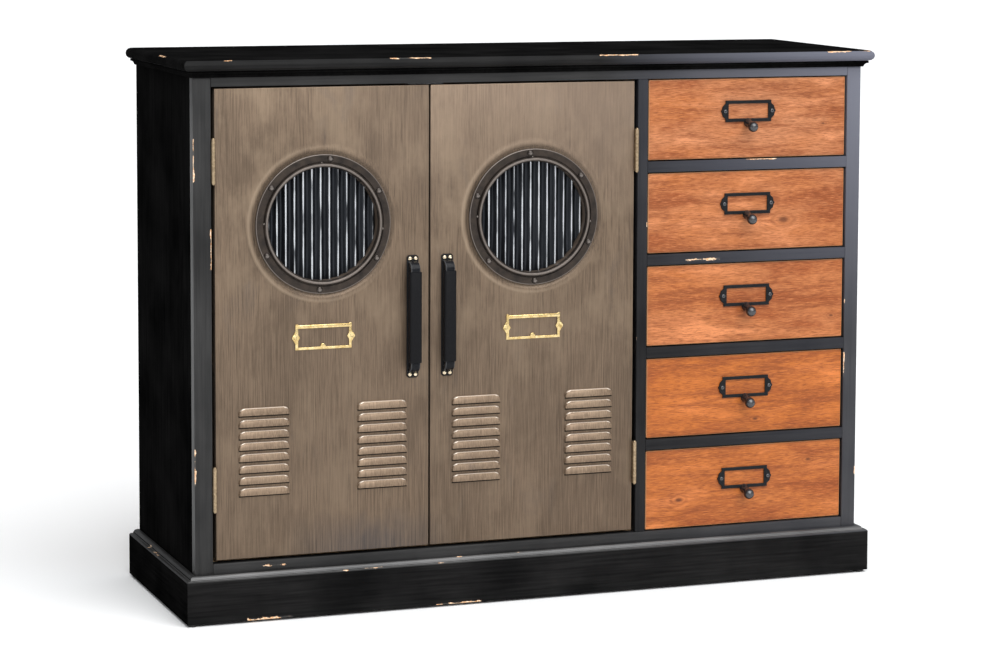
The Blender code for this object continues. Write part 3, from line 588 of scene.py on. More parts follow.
def mottled_metal(name):
    """Cast or stamped fitting with patches of tarnish, made paler where the stored mark says so: wear on
    some fittings, painted highlight on others.
    """
    bright, dark, metallic, smooth, rough, grain, gloss = METALS[name]
    r = Recipe(name)
    patch = r.noise(grain, detail=4, rough=0.6)
    pit = r.noise(1400, detail=3)
    # Paler where the stored mark says so: wear on some fittings, painted highlight on others.
    rubbed_and_highlight = r.fade(r.sum(r.stored("wear_and_highlight"), r.times(pit, 0.3)), 0.6, 1.1, 0.0, 0.9)
    polish_and_highlight = Vector(bright) * 2.2 + Vector((0.08, 0.08, 0.08))
    colour = r.coats(bright, (r.fade(patch, 0.35, 0.68), dark), (rubbed_and_highlight, polish_and_highlight))
    normal = r.bump(r.sum(patch, pit), 0.0002, 0.3)
    roughness = r.fade(patch, 0.3, 0.7, smooth, rough)
    return r.serve(colour, roughness, normal, Metallic=metallic, Specular_IOR_Level=gloss)


def grille_metal(name):
    """Dark corrugated sheet whose crests are painted pale by how far forward they stand, as painted
    highlight.
    """
    r = Recipe(name)
    y = r.apart(r.place)[1]
    wander = r.times(r.less(r.noise(70, r.lay((1, 1, 0.25)), detail=3), 0.5), 0.0016)
    # Painted highlight along the crests, broken up by scuffs.
    crest = r.fade(r.sum(y, wander), GRILLE_FRONT_Y + 0.00048, GRILLE_FRONT_Y + 0.00018)
    scuff = r.noise(240, r.lay((1, 1, 0.05)), detail=4)
    bare_and_highlight = r.times(crest, r.fade(scuff, 0.2, 0.5, 0.6, 1.0))
    valley = r.fade(scuff, 0.35, 0.7)
    colour = r.coats((0.010, 0.012, 0.015), (valley, (0.030, 0.033, 0.040)), (bare_and_highlight, (0.66, 0.68, 0.71)))
    roughness = r.fade(scuff, 0.3, 0.7, 0.25, 0.38)
    return r.serve(colour, roughness, r.bump(scuff, 0.0002, 0.3), Metallic=0.7)


def studio_floor(colour):
    r = Recipe("pale_floor")
    cloud = r.noise(0.7, detail=3)
    tone = r.coats(colour, (r.fade(cloud, 0.3, 0.7), Vector(colour) * 0.985))
    return r.serve(tone, 0.9, r.bump(cloud, 0.001, 0.05), Specular_IOR_Level=0.1)


# ---------------------------------------------------------------- what a user may change


def length(name, description, default):
    return FloatProperty(name=name, description=description, default=default, min=0.0, unit="LENGTH")


def colour(name, description, default):
    return FloatVectorProperty(
        name=name, description=description, default=default, subtype="COLOR", size=3, min=0.0, max=1.0
    )


class CaseSettings(bpy.types.PropertyGroup):
    edge: length("Board edge", "Rounding of the painted boards' edges", 0.0009)
    wear_step: length("Wear step", "How finely wear may change along a board", 0.003)
    paint_dark: colour("Paint, dark", "Black paint in its dark patches", (0.0045, 0.0046, 0.0048))
    paint_light: colour("Paint, light", "Black paint where it is thin", (0.0235, 0.0230, 0.0230))
    # Painted light: the pale, cool tint laid on the paint towards the right and the top.
    painted_light_tint: colour("Paint, hazy", "Black paint gone cool and pale", (0.180, 0.187, 0.235))
    paint_gloss: FloatProperty(
        name="Paint gloss",
        description="Specular level of the paint",
        default=0.32,
        min=0,
        max=1,
        subtype="FACTOR",
    )
    bare_wood: colour("Bare wood", "Wood that shows through chipped paint", (0.66, 0.32, 0.13))


class DoorSettings(bpy.types.PropertyGroup):
    metal_bright: colour("Metal, bright", "Brushed sheet in its bright streaks", (0.208, 0.148, 0.100))
    metal_dull: colour("Metal, dull", "Brushed sheet in its dull streaks", (0.082, 0.056, 0.037))
    louvres: IntProperty(name="Louvres", description="Louvres in each column", default=8, min=1, max=12)
    louvre_pitch: length("Louvre pitch", "Height from one louvre to the next", 0.0184)
    dish: length("Dish", "Depth of the pressed ring round a porthole", 0.0008)


class DrawerSettings(bpy.types.PropertyGroup):
    edge: length("Front edge", "Rounding of the drawer fronts", 0.0015)
    stain_light: colour("Stain, light", "Stained wood where it is pale", (0.420, 0.110, 0.010))
    stain_pink: colour("Stain, pink", "Stained wood where it turns pink", (0.460, 0.185, 0.082))
    stain_deep: colour("Stain, deep", "Stain gathered in the grain", (0.205, 0.044, 0.005))


class StageSettings(bpy.types.PropertyGroup):
    floor: colour("Floor", "Colour of the studio floor", (0.90, 0.90, 0.90))
    key: FloatProperty(name="Key light", description="Strength of the main light", default=2.6, min=0)
    fill: FloatProperty(name="Fill light", description="Strength of the front light", default=0.9, min=0)
    lens: FloatProperty(
        name="Lens", description="Focal length in millimetres", default=111.482, unit="CAMERA"
    )


GROUPS = {
    "sideboard_case": CaseSettings,
    "sideboard_doors": DoorSettings,
    "sideboard_drawers": DrawerSettings,
    "sideboard_stage": StageSettings,
}


# ---------------------------------------------------------------- case

EDGE_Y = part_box("top_board")[0].y + 0.0040
EDGE_Z = 0.8990
PLINTH_Y = FACE_Y - 0.018
MOULDING_Z = 0.0735  # the plinth's small moulding is above it
CHIPS_ACROSS = {  # y and z of an edge that lies along X: (from, to, radius) of its chips
    (EDGE_Y, EDGE_Z): (
        (-0.535, -0.522, 0.0024),
        (-0.262, -0.195, 0.0030),
        (0.100, 0.165, 0.0028),
        (0.515, 0.556, 0.0036),
        (0.572, 0.592, 0.0022),
    ),
    (PLINTH_Y + 0.004, 0.0755): ((-0.377, -0.363, 0.0024),),
    (PLINTH_Y + 0.002, 0.0730): ((-0.354, -0.335, 0.0022),),
    (PLINTH_Y + 0.003, 0.0740): ((-0.305, -0.276, 0.0024),),
    (PLINTH_Y + 0.002, 0.0735): ((-0.180, -0.171, 0.0024),),
    (FACE_Y - 0.008, 0.0795): ((-0.144, -0.134, 0.0020), (-0.040, -0.032, 0.0020)),
    (PLINTH_Y, 0.0046): ((-0.498, -0.430, 0.0046), (-0.182, -0.109, 0.0036)),
    (FACE_Y, 0.7190): ((0.369, 0.426, 0.0022),),
    (FACE_Y, 0.5526): ((0.262, 0.322, 0.0036),),
}
CHIPS_UP = {  # x and y of an upright edge: (from, to, radius) of its chips
    (-0.582, FACE_Y): ((0.225, 0.280, 0.0032), (0.709, 0.775, 0.0030)),
    (-0.553, FACE_Y): ((0.568, 0.632, 0.0024),),
    (-0.582, 0.204): ((0.328, 0.361, 0.0028),),
    (0.5575, FACE_Y): ((0.340, 0.382, 0.0022), (0.466, 0.474, 0.0020)),
    (0.5815, FACE_Y): ((0.170, 0.182, 0.0026),),
    (0.173, FACE_Y): ((0.420, 0.427, 0.0016),),
    (0.1905, FACE_Y): ((0.610, 0.618, 0.0016),),
}
CHIPS = [  # start, end and radius
    ((-0.5960, -0.060, EDGE_Z), (-0.5960, -0.020, EDGE_Z), 0.0028),
    ((-0.5950, 0.010, 0.0765), (-0.5950, 0.085, 0.0765), 0.0036),
    ((-0.471, FACE_Y - 0.001, 0.0865), (-0.431, FACE_Y - 0.001, 0.0880), 0.0022),
]
for (y, z), places in CHIPS_ACROSS.items():
    CHIPS += [((start, y, z), (end, y, z), radius) for start, end, radius in places]
for (x, y), places in CHIPS_UP.items():
    CHIPS += [((x, y, start), (x, y, end), radius) for start, end, radius in places]


def painted_board(node, paint, settings):
    """Board with soft edges, scored finely where paint has chipped from it."""
    piece = traced(node, f"painted_{node}")
    round_edges(piece, settings.edge)
    score_chips(piece, CHIPS, settings.wear_step)
    mark_wear(piece, CHIPS)
    return hand_over(piece, CASE, "black_paint", paint, node)


def paint_faces(piece, paint, test):
    """Gives another paint to the faces that pass the test."""
    piece.data.materials.append(paint)
    last = len(piece.data.materials) - 1
    for face in piece.data.polygons:
        if test(face):
            face.material_index = last


class SIDEBOARD_OT_case(bpy.types.Operator):
    """Paint and wear the top, the case boards and the plinth"""

    bl_idname = "sideboard.case"
    bl_label = "Painted case"

    def execute(self, context):
        settings = context.scene.sideboard_case
        # These paints carry the painted light towards the right and the top.
        paints = [
            worn_paint(f"black_paint_{name}", axis, settings, painted_light_share=1.0)
            for axis, name in enumerate("xyz")
        ]
        boards = {
            X: ["rail_top", "rail_bottom", "plinth_front"],
            Y: ["plinth_left", "plinth_right"],
            Z: ["stile_left", "stile_right", "side_panel_left", "side_panel_right"],
        }
        for axis, nodes in boards.items():
            for node in nodes:
                painted_board(node, paints[axis], settings)
        # Painted shade: darker copies of the paint on the centre stile, the top board's front and the
        # dividers between the drawers.
        deep = worn_paint("black_paint_shaded_z", Z, settings, 0.6, 0.12, 1.0)
        painted_board("stile_centre", deep, settings)
        deep = worn_paint("black_paint_shaded_x", X, settings, 0.6, 0.12, 1.0)
        for node in ["top_board"] + [f"drawer_divider_{number}" for number in DRAWERS[:-1]]:
            painted_board(node, deep, settings)
        self.shade_faces(settings)
        return {"FINISHED"}

    def shade_faces(self, settings):
        """Darker copies of the paint as painted shade on the faces that look up, down or aside, on the
        plinth's front and on the moulding under the top, and a paler, glossier copy as painted highlight
        on the plinth's moulding.
        """
        shaded_top_paint = worn_paint("black_paint_top", X, settings, 0.42, 0.0)
        shaded_side_paint = worn_paint("black_paint_side", Z, settings, 0.28, 0.0)
        shaded_plinth_paint = worn_paint("black_paint_plinth", X, settings, 0.55, 0.04)
        shaded_plinth_side_paint = worn_paint("black_paint_plinth_side", Y, settings, 0.3, 0.0)
        polished_and_highlight = worn_paint("black_paint_moulding_highlight", X, settings, 4.2, 0.9)
        for side in SIDES:
            panel = bpy.data.objects[f"painted_side_panel_{side}"]
            paint_faces(panel, shaded_side_paint, lambda face: True)
            board = bpy.data.objects[f"painted_plinth_{side}"]
            paint_faces(board, shaded_plinth_side_paint, lambda face: face.normal.z < 0.2)
        front = bpy.data.objects["painted_plinth_front"]
        paint_faces(front, shaded_plinth_paint, lambda face: face.center.z < MOULDING_Z - 0.002)
        # Painted highlight: a paler, glossier copy of the paint on the plinth's moulding, standing in
        # for the light it catches.
        paint_faces(
            front, polished_and_highlight, lambda face: face.center.z > MOULDING_Z and 0.15 < face.normal.z < 0.97
        )
        top = bpy.data.objects["painted_top_board"]
        paint_faces(top, shaded_top_paint, lambda face: face.normal.z > 0.9 or abs(face.normal.x) > 0.5)
        # Painted shade: the moulding under the top takes the dark side paint.
        moulding = traced("top_moulding", "painted_top_moulding")
        round_edges(moulding, 0.0005)
        hand_over(moulding, CASE, "black_paint", shaded_side_paint, "top_moulding")


class SIDEBOARD_OT_inside(bpy.types.Operator):
    """Finish the boards inside the case, the back, the catch and the glides"""

    bl_idname = "sideboard.inside"
    bl_label = "Inside and back"

    def execute(self, context):
        pale, dark = (0.62, 0.42, 0.24), (0.40, 0.24, 0.12)
        shelf_wood = pine("pine_boards", X, pale, dark)
        upright = pine("pine_upright", Z, pale, dark)
        back = pine("back_board", Z, (0.34, 0.22, 0.13), (0.22, 0.13, 0.07), 0.7)
        for node, wood, edge in (
            ("bottom_panel", shelf_wood, 0.0008),
            ("cupboard_shelf", shelf_wood, 0.0008),
            ("partition", upright, 0.0006),
            ("back_panel", back, 0.0006),
        ):
            piece = traced(node, f"pine_{node}")
            round_edges(piece, edge)
            hand_over(piece, CASE, "bare_pine", wood, node)
        steel = mottled_metal("catch_steel")
        catch = block("magnet_catch", *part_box("door_catch"))
        open_up(catch)
        choose(catch, "FACE", lambda f: faces(f, Y, -1))
        bpy.ops.mesh.inset(thickness=0.002)
        push((0, 0.0008, 0))
        put_down()
        round_edges(catch, 0.0008)
        hand_over(catch, CASE, "bare_steel", steel, "door_catch")
        nylon = mottled_metal("black_nylon")
        for corner in ("front_left", "front_right", "back_left", "back_right"):
            piece = traced(f"glide_{corner}", f"nylon_glide_{corner}")
            round_edges(piece, 0.0008)
            hand_over(piece, CASE, "black_nylon", nylon, f"glide_{corner}")
        return {"FINISHED"}


# ---------------------------------------------------------------- doors


DISH_RADIUS = 0.0925  # inner edge of the pressed ring
DISH_STEPS = (  # radius, and how deep it is as a share of the dish
    (0.1125, 1.0),
    (0.1145, 1.0),
    (0.1165, 0.0),
    (0.1185, -1.1),
    (0.1210, -1.5),
    (0.1240, -1.1),
    (0.1275, -0.3),
    (0.1310, 0.0),
)
PAINTED_LIGHT_BAND = {0.1175: -1.0, 0.1185: -0.7, 0.1210: 0.4, 0.1240: 1.0, 0.1275: 0.0}  # radius: painted shade (negative) to painted highlight (positive)
PAINTED_LIGHT_TURN = 205  # degrees at which the painted highlight on the dish is widest, on its lit side
SHEET_FOLD = 0.0010  # how far from its edge a sheet begins to fold over
SHEET_THICK = 0.0006


def door_sheet(side, settings):
    """Sheet with a pressed ring round its porthole and its outer edge folded over."""
    low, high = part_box(f"door_core_{side}")
    wide, tall = high.x - low.x, high.z - low.z
    centre = middle(f"porthole_ring_{side}")
    centre = Vector((centre.x, DOOR_FACE_Y, centre.z))
    heart = ((low.x + high.x) / 2, DOOR_FACE_Y, (low.z + high.z) / 2)
    turn = (math.pi / 2, 0, 0)
    put_down()
    bpy.ops.mesh.primitive_circle_add(vertices=96, radius=DISH_RADIUS, location=centre, rotation=turn)
    sheet = settle(bpy.context.object, f"sheet_{side}")
    open_up(sheet, "EDGE", whole=True)
    radius, depth = DISH_RADIUS, settings.dish
    shift((0, depth, 0))
    for wider, share in DISH_STEPS:
        deeper = share * settings.dish
        push((0, deeper - depth, 0))
        scale((wider / radius, 1, wider / radius), centre)
        radius, depth = wider, deeper
    put_down()
    bpy.ops.mesh.primitive_plane_add(size=1, location=heart)
    border = bpy.context.object
    border.rotation_euler = turn
    border.scale = (wide - 2 * SHEET_FOLD, tall - 2 * SHEET_FOLD, 1)
    settle(border, "border")
    open_up(border, "EDGE", whole=True)
    bpy.ops.mesh.delete(type="ONLY_FACE")
    sheet = joined(f"sheet_{side}", sheet, border)
    open_up(sheet, "EDGE")

    def is_open(edge):
        return len(edge.link_faces) < 2 and (centre_of(edge) - centre).length > radius - 0.0005

    def on_rim(edge):
        spot = centre_of(edge)
        beyond_x = abs(spot.x - heart[0]) > wide / 2 - SHEET_FOLD * 1.05
        beyond_z = abs(spot.z - heart[2]) > tall / 2 - SHEET_FOLD * 1.05
        return (beyond_x or beyond_z) and len(edge.link_faces) == 1

    choose(sheet, "EDGE", is_open)
    bpy.ops.mesh.fill()
    choose(sheet, "EDGE", on_rim)
    inset = SHEET_FOLD
    for left, back in ((0.0003, 0.0003), (0.0, 0.0007)):
        push((0, back, 0))
        now_wide, now_tall = wide - 2 * inset, tall - 2 * inset
        scale(((wide - 2 * left) / now_wide, 1, (tall - 2 * left) / now_tall), heart)
        inset = left
    tidy(sheet)
    open_up(sheet, "FACE")
    shape = bmesh.from_edit_mesh(sheet.data)
    if sum(face.normal.y * face.calc_area() for face in shape.faces) > 0:
        bpy.ops.mesh.select_all(action="SELECT")
        bpy.ops.mesh.flip_normals()
    put_down()
    modify(sheet, "SOLIDIFY", thickness=SHEET_THICK, offset=-1)
    # Painted shade by the ring, painted highlight on the dish's lit side and along the sheet's right
    # edge.
    x, _, z = corners_of(sheet).T
    band = np.interp(np.hypot(x - centre.x, z - centre.z), list(PAINTED_LIGHT_BAND), list(PAINTED_LIGHT_BAND.values()))
    turn = np.arctan2(z - centre.z, x - centre.x) - math.radians(PAINTED_LIGHT_TURN)
    band = np.where(band > 0, band * np.clip(0.45 + 0.6 * np.cos(turn), 0, 1), band)
    mark(sheet, "halo", np.where(x > high.x - SHEET_THICK, 1.0, band))
    return sheet


LOUVRE_WIDTH = 0.085
LOUVRE_HEIGHT = 0.0126
LOUVRE_PROUD = 0.0045
LOUVRE_DROP = 0.0069  # from the middle of a louvre's place to its lower edge
LOUVRE_ASIDE = 0.0365  # from the side of a door's board to the nearest louvres
LOUVRE_FOOT = 0.102  # from the foot of a door's board to its lowest louvre
# Dark strip under each louvre, for its opening and as painted shadow.
SLIT_WIDTH, SLIT_DEPTH, SLIT_HEIGHT = 0.0836, 0.0005, 0.0030


def louvre(name, place):
    """Pressed louvre: open below, rounded shoulders above with a painted highlight, thin rim round a
    flat face.
    """
    foot = place.z - LOUVRE_DROP
    low = Vector((place.x - LOUVRE_WIDTH / 2, DOOR_FACE_Y - LOUVRE_PROUD, foot))
    high = Vector((place.x + LOUVRE_WIDTH / 2, DOOR_FACE_Y + 0.0003, low.z + LOUVRE_HEIGHT))
    piece = block(name, low, high)
    open_up(piece, "EDGE")
    choose(piece, "EDGE", lambda e: runs(e, Y) and centre_of(e).z > place.z)
    bpy.ops.mesh.bevel(offset=0.0100, segments=6, profile=0.5, affect="EDGES")
    choose(piece, "FACE", lambda f: faces(f, Y, -1))
    scale((0.960, 1, 0.87), (place.x, low.y, low.z))
    choose(piece, "VERT", lambda v: v.co.y < low.y + 0.0001 and v.co.z > place.z)
    shift((0, 0.0010, 0))

    def round_the_face(edge):
        return all(v.co.y < low.y + 0.002 for v in edge.verts) and centre_of(edge).z > low.z + 0.0002

    choose(piece, "EDGE", round_the_face)
    bpy.ops.mesh.bevel(offset=0.0008, segments=2, profile=0.5, affect="EDGES")
    choose(piece, "FACE", lambda f: faces(f, Z, -1))
    bpy.ops.mesh.inset(thickness=0.0007)
    push((0, 0, 0.006))
    tidy(piece)
    # Painted highlight on the shoulders, through the halo mark.
    _, y, z = corners_of(piece).T
    shoulder = (y > low.y + 0.0012) & (y < low.y + 0.0035) & (z > low.z + 0.001)
    mark(piece, "halo", np.where(shoulder, 1.9, 0.0))
    return piece


def slit_shadow(name, place):
    """Dark strip under a louvre's lower edge: its opening, and painted shadow where the louvre's shade
    falls.
    """
    foot = place.z - LOUVRE_DROP - 0.0027
    low = Vector((place.x - SLIT_WIDTH / 2, DOOR_FACE_Y - 0.0003, foot))
    gap = block(name, low, beside(low, SLIT_WIDTH, SLIT_DEPTH, SLIT_HEIGHT))
    round_edges(gap, 0.0001, 1)
    return gap


class SIDEBOARD_OT_door_faces(bpy.types.Operator):
    """Make the doors' metal sheets and louvres, and finish the boards behind them"""

    bl_idname = "sideboard.door_faces"
    bl_label = "Door faces"

    def execute(self, context):
        settings = context.scene.sideboard_doors
        metal = brushed_metal("door_metal", settings)
        pressed = brushed_metal("louvre_metal", settings, 1.45)
        gap = mottled_metal("louvre_gap_shadow")
        board = pine("door_board", Z, (0.10, 0.072, 0.052), (0.05, 0.036, 0.027), 0.55)
        for side in SIDES:
            body, node = f"door_{side}", f"door_core_{side}"
            core = traced(node, f"door_board_{side}")
            round_edges(core, 0.0006)
            hand_over(core, body, "door_board", board, node)
            sheet = door_sheet(side, settings)
            hand_over(sheet, body, "door_metal", metal, f"door_skin_{side}", smooth=50)
            low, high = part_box(node)
            aside = LOUVRE_ASIDE + LOUVRE_WIDTH / 2
            for label, x in (("a", low.x + aside), ("b", high.x - aside)):
                place = Vector((x, DOOR_FACE_Y, low.z + LOUVRE_FOOT + LOUVRE_DROP))
                for name, finish, first in (
                    ("louvres", pressed, louvre("louvre", place)),
                    ("louvre_gap_shadows", gap, slit_shadow("slit_shadow", place)),
                ):
                    rows = [first]
                    for row in range(1, settings.louvres):
                        rise = row * settings.louvre_pitch
                        rows.append(copied(first, f"{name}_{row}", (0, 0, rise)))
                    column = joined(f"{name}_{side}_{label}", *rows)
                    hand_over(column, body, "door_metal", finish, smooth=40)
        return {"FINISHED"}


# ---------------------------------------------------------------- portholes


def arc(centre, radius, start, end, steps):
    """Points along an arc, with both ends. Angles are in degrees."""
    angles = [math.radians(start + (end - start) * i / steps) for i in range(steps + 1)]
    return [(centre[0] + radius * math.cos(a), centre[1] + radius * math.sin(a)) for a in angles]


def spun(name, centre, profile, steps=96, closed=True):
    """Profile of (radius, forward) points turned about the Y axis through a centre."""
    points = [(centre.x + radius, centre.y - forward, centre.z) for radius, forward in profile]
    piece = drawn(name, points, closed)
    open_up(piece, "EDGE", whole=True)
    bpy.ops.mesh.spin(steps=steps, angle=math.tau, center=tuple(centre), axis=(0, 1, 0))
    tidy(piece)
    return piece


def dome_screw(name, place, radius, height, recess=True):
    """Round head on a low collar, with a driver recess in its middle."""
    piece = rod(name, place + Vector((0, -height / 2 + 0.0003, 0)), radius, height + 0.0006, 16)
    front = place.y - height + 0.0001
    open_up(piece, "EDGE")
    choose(piece, "EDGE", lambda e: all(v.co.y < front for v in e.verts))
    bpy.ops.mesh.bevel(offset=min(radius, height) * 0.8, segments=4, profile=0.5, affect="EDGES")
    if recess:
        choose(piece, "FACE", lambda f: faces(f, Y, -1) and len(f.verts) > 8)
        bpy.ops.mesh.inset(thickness=radius * 0.12)
        push((0, height * 0.35, 0))
        scale((0.5, 1, 0.5), place)
    put_down()
    return piece


RING_PROFILE = (  # radius and how far forward: flange, groove, bead, inner wall
    [(0.1120, -0.0006), (0.1120, 0.0024), (0.1116, 0.0029), (0.1109, 0.0031), (0.1103, 0.0031)]
    + [(0.1004, 0.0030), (0.1000, 0.0012), (0.0986, 0.0012)]
    + arc((0.09485, 0.0033), 0.0037, 0, 165, 9)
    + [(0.0910, 0.0030), (0.0910, -0.0006)]
)
RING_SCREWS_AT = 0.1053  # radius of the circle of screws
RING_SCREW_TURNS = {  # degrees
    "left": (84, 145, 207, 266, -33, 29),
    "right": (94, 159, 221.6, 270.8, -24.7, 39),
}
TACKS_AT = 0.0985
TACKS = ((92, 0.0016), (178, 0.0018), (-6, 0.0022))  # turn in degrees and radius of each weld spot
WAVE_PITCH, WAVE_DEPTH = 0.0145, 0.0054


def on_circle(centre, turn, radius, forward):
    """Point on a circle round the Y axis, a turn in degrees from +X and so far in front."""
    angle = math.radians(turn)
    return beside(centre, radius * math.cos(angle), -forward, radius * math.sin(angle))


class SIDEBOARD_OT_portholes(bpy.types.Operator):
    """Make the porthole rings, their screws and the corrugated sheets behind them"""

    bl_idname = "sideboard.portholes"
    bl_label = "Portholes"

    def execute(self, context):
        bronze = mottled_metal("dark_bronze")
        heads = mottled_metal("screw_bronze")
        ridged = grille_metal("corrugated_steel")
        for side in SIDES:
            body, node = f"door_{side}", f"porthole_ring_{side}"
            spot = middle(node)
            centre = Vector((spot.x, RING_BACK_Y, spot.z))
            hand_over(self.ring(side, centre), body, "dark_bronze", bronze, node, smooth=40)
            hand_over(self.screws(side, centre), body, "dark_bronze", heads, smooth=60)
            hand_over(self.corrugated(side), body, "bare_steel", ridged, f"grille_{side}", smooth=70)
        return {"FINISHED"}

    def ring(self, side, centre):
        """Turned ring with its weld spots; its rim and the crest of its bead made pale as wear and as
        painted highlight, and the spots bright.
        """
        ring = spun(f"ring_{side}", centre, RING_PROFILE)
        tacks = []
        for turn, radius in TACKS:
            place = on_circle(centre, turn, TACKS_AT, 0.0036)
            put_down()
            bpy.ops.mesh.primitive_ico_sphere_add(
                subdivisions=2, radius=radius, location=place, scale=(1, 0.8, 1)
            )
            tacks.append(settle(bpy.context.object, "tack"))
        plain = len(ring.data.vertices)
        ring = joined(f"ring_{side}", ring, *tacks)
        x, y, z = corners_of(ring).T
        forward = centre.y - y
        # Rim and bead crest: wear and painted highlight; weld spots: bright metal.
        rim = (np.hypot(x - centre.x, z - centre.z) > 0.1106) & (forward > 0.0015)
        weld = np.arange(len(x)) >= plain
        mark(ring, "wear_and_highlight", np.where(rim | weld, 1.0, np.where(forward > 0.0066, 0.95, 0.0)))
        return ring

    def screws(self, side, centre):
        """Six domed heads, each on a low collar, with a painted highlight on each tip."""
        parts = []
        for turn in RING_SCREW_TURNS[side]:
            place = on_circle(centre, turn, RING_SCREWS_AT, 0.0029)
            parts.append(rod("ring_collar", beside(place, 0, -0.0002, 0), 0.0056, 0.0006, 20))
            parts.append(dome_screw("ring_screw", place, 0.0052, 0.0035, recess=False))
        screws = joined(f"ring_screws_{side}", *parts)
        # Painted highlight on the tip of each head.
        forward = centre.y - corners_of(screws)[:, 1]
        mark(screws, "wear_and_highlight", np.where(forward > 0.0062, 0.85, 0.0))
        return screws

    def corrugated(self, side):
        """Round sheet with upright waves, its crests level with the frame's."""
        low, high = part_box(f"grille_{side}")
        centre = (low + high) / 2
        radius = (high.z - low.z) / 2 - 0.0002
        put_down()
        bpy.ops.mesh.primitive_grid_add(
            x_subdivisions=168, y_subdivisions=2, size=2, rotation=(math.pi / 2, 0, 0)
        )
        sheet = settle(bpy.context.object, f"corrugated_sheet_{side}")
        for vertex in sheet.data.vertices:
            across = vertex.co.x * radius * 0.999
            up = math.copysign(1, vertex.co.z) if abs(vertex.co.z) > 0.5 else 0
            sunk = WAVE_DEPTH / 2 * (1 - math.cos(math.tau * across / WAVE_PITCH))
            rise = up * math.sqrt(radius**2 - across**2)
            vertex.co = (centre.x + across, low.y + sunk + 0.0001, centre.z + rise)
        modify(sheet, "SOLIDIFY", thickness=0.0008, offset=-1)
        tidy(sheet)
        return sheet


# ---------------------------------------------------------------- door fittings


PULL_PLATE_HALF = Vector((0.0100, 0, 0.1))
PULL_GRIP_HALF = Vector((0.0104, 0.0064, 0.074))
PULL_GRIP_OUT = 0.015  # from the door to the middle of the grip
PULL_SCREW_X, PULL_SCREW_Z = 0.0047, 0.0945
ELBOW_WIDTH = 0.0160
ELBOW_BEND = (0.0055, 0.0765)  # centre of the bend, out from the door and up from the middle
ELBOW_PROFILE = (
    [(0.0005, 0.0905), (0.0055, 0.0905)]
    + arc(ELBOW_BEND, 0.0140, 90, 0, 6)[1:]
    + [(0.0195, 0.0725), (0.0105, 0.0725)]
    + arc(ELBOW_BEND, 0.0050, 0, 90, 4)
    + [(0.0005, 0.0815)]
)


class SIDEBOARD_OT_door_pulls(bpy.types.Operator):
    """Make the two bowed door pulls and their brass screws"""

    bl_idname = "sideboard.door_pulls"
    bl_label = "Door pulls"

    def execute(self, context):
        gloss = mottled_metal("black_lacquer")
        flat = mottled_metal("black_plate")
        matt = mottled_metal("black_grip")
        brass = mottled_metal("screw_brass")
        for side in SIDES:
            body, node = f"door_{side}", f"door_pull_{side}"
            centre = back_middle(node)
            plate = named(self.plate(centre), f"pull_plate_{side}")
            hand_over(plate, body, "black_iron", flat, node, smooth=50)
            bow = joined(f"pull_bow_{side}", *self.elbows(centre))
            # Painted highlight: pale streaks along the bars' rounded side edges.
            across = np.abs(corners_of(bow)[:, 0] - centre.x)
            mark(bow, "wear_and_highlight", np.where((across > 0.0060) & (across < 0.0079), 0.75, 0.0))
            hand_over(bow, body, "black_iron", gloss, smooth=50)
            hand_over(self.grip(side, centre), body, "black_iron", matt, smooth=40)
            screws = []
            for z in (PULL_SCREW_Z, -PULL_SCREW_Z):
                for x in (-PULL_SCREW_X, PULL_SCREW_X):
                    place = beside(centre, x, -0.0018, z)
                    screws.append(dome_screw("pull_screw", place, 0.0034, 0.0024))
            screws = joined(f"pull_screws_{side}", *screws)
            hand_over(screws, body, "bright_brass", brass, smooth=60)
        return {"FINISHED"}

    def plate(self, centre):
        """Flat backplate with its corners cut."""
        low = centre - PULL_PLATE_HALF - Vector((0, 0.002, 0))
        plate = block("pull_plate", low, centre + PULL_PLATE_HALF)
        open_up(plate, "EDGE")
        choose(plate, "EDGE", lambda e: runs(e, Y))
        bpy.ops.mesh.bevel(offset=0.0032, segments=1, affect="EDGES")
        put_down()
        round_edges(plate, 0.0004)
        return plate

    def elbows(self, centre):
        """Two flat bars, each bent through a right angle from the plate into the grip."""
        pieces = []
        for sign in (1, -1):
            points = [beside(centre, -ELBOW_WIDTH / 2, -out, sign * up) for out, up in ELBOW_PROFILE]
            elbow = drawn("elbow", points, True)
            open_up(elbow, "EDGE", whole=True)
            bpy.ops.mesh.fill()
            bpy.ops.mesh.dissolve_limited(angle_limit=math.radians(1))
            bpy.ops.mesh.select_all(action="SELECT")
            push((ELBOW_WIDTH, 0, 0))
            tidy(elbow)
            round_edges(elbow, 0.0022, 4)
            pieces.append(elbow)
        return pieces

    def grip(self, side, centre):
        """Bar with full rounded edges and square-cut ends."""
        place = beside(centre, 0, -PULL_GRIP_OUT, 0)
        bar = block(f"pull_grip_{side}", place - PULL_GRIP_HALF, place + PULL_GRIP_HALF)
        open_up(bar, "EDGE")
        choose(bar, "EDGE", lambda e: runs(e, Z))
        bpy.ops.mesh.bevel(offset=0.0045, segments=6, profile=0.5, affect="EDGES")
        put_down()
        round_edges(bar, 0.0008, 2, 60)
        return bar


LABEL_HALF = Vector((0.047, 0, 0.02))


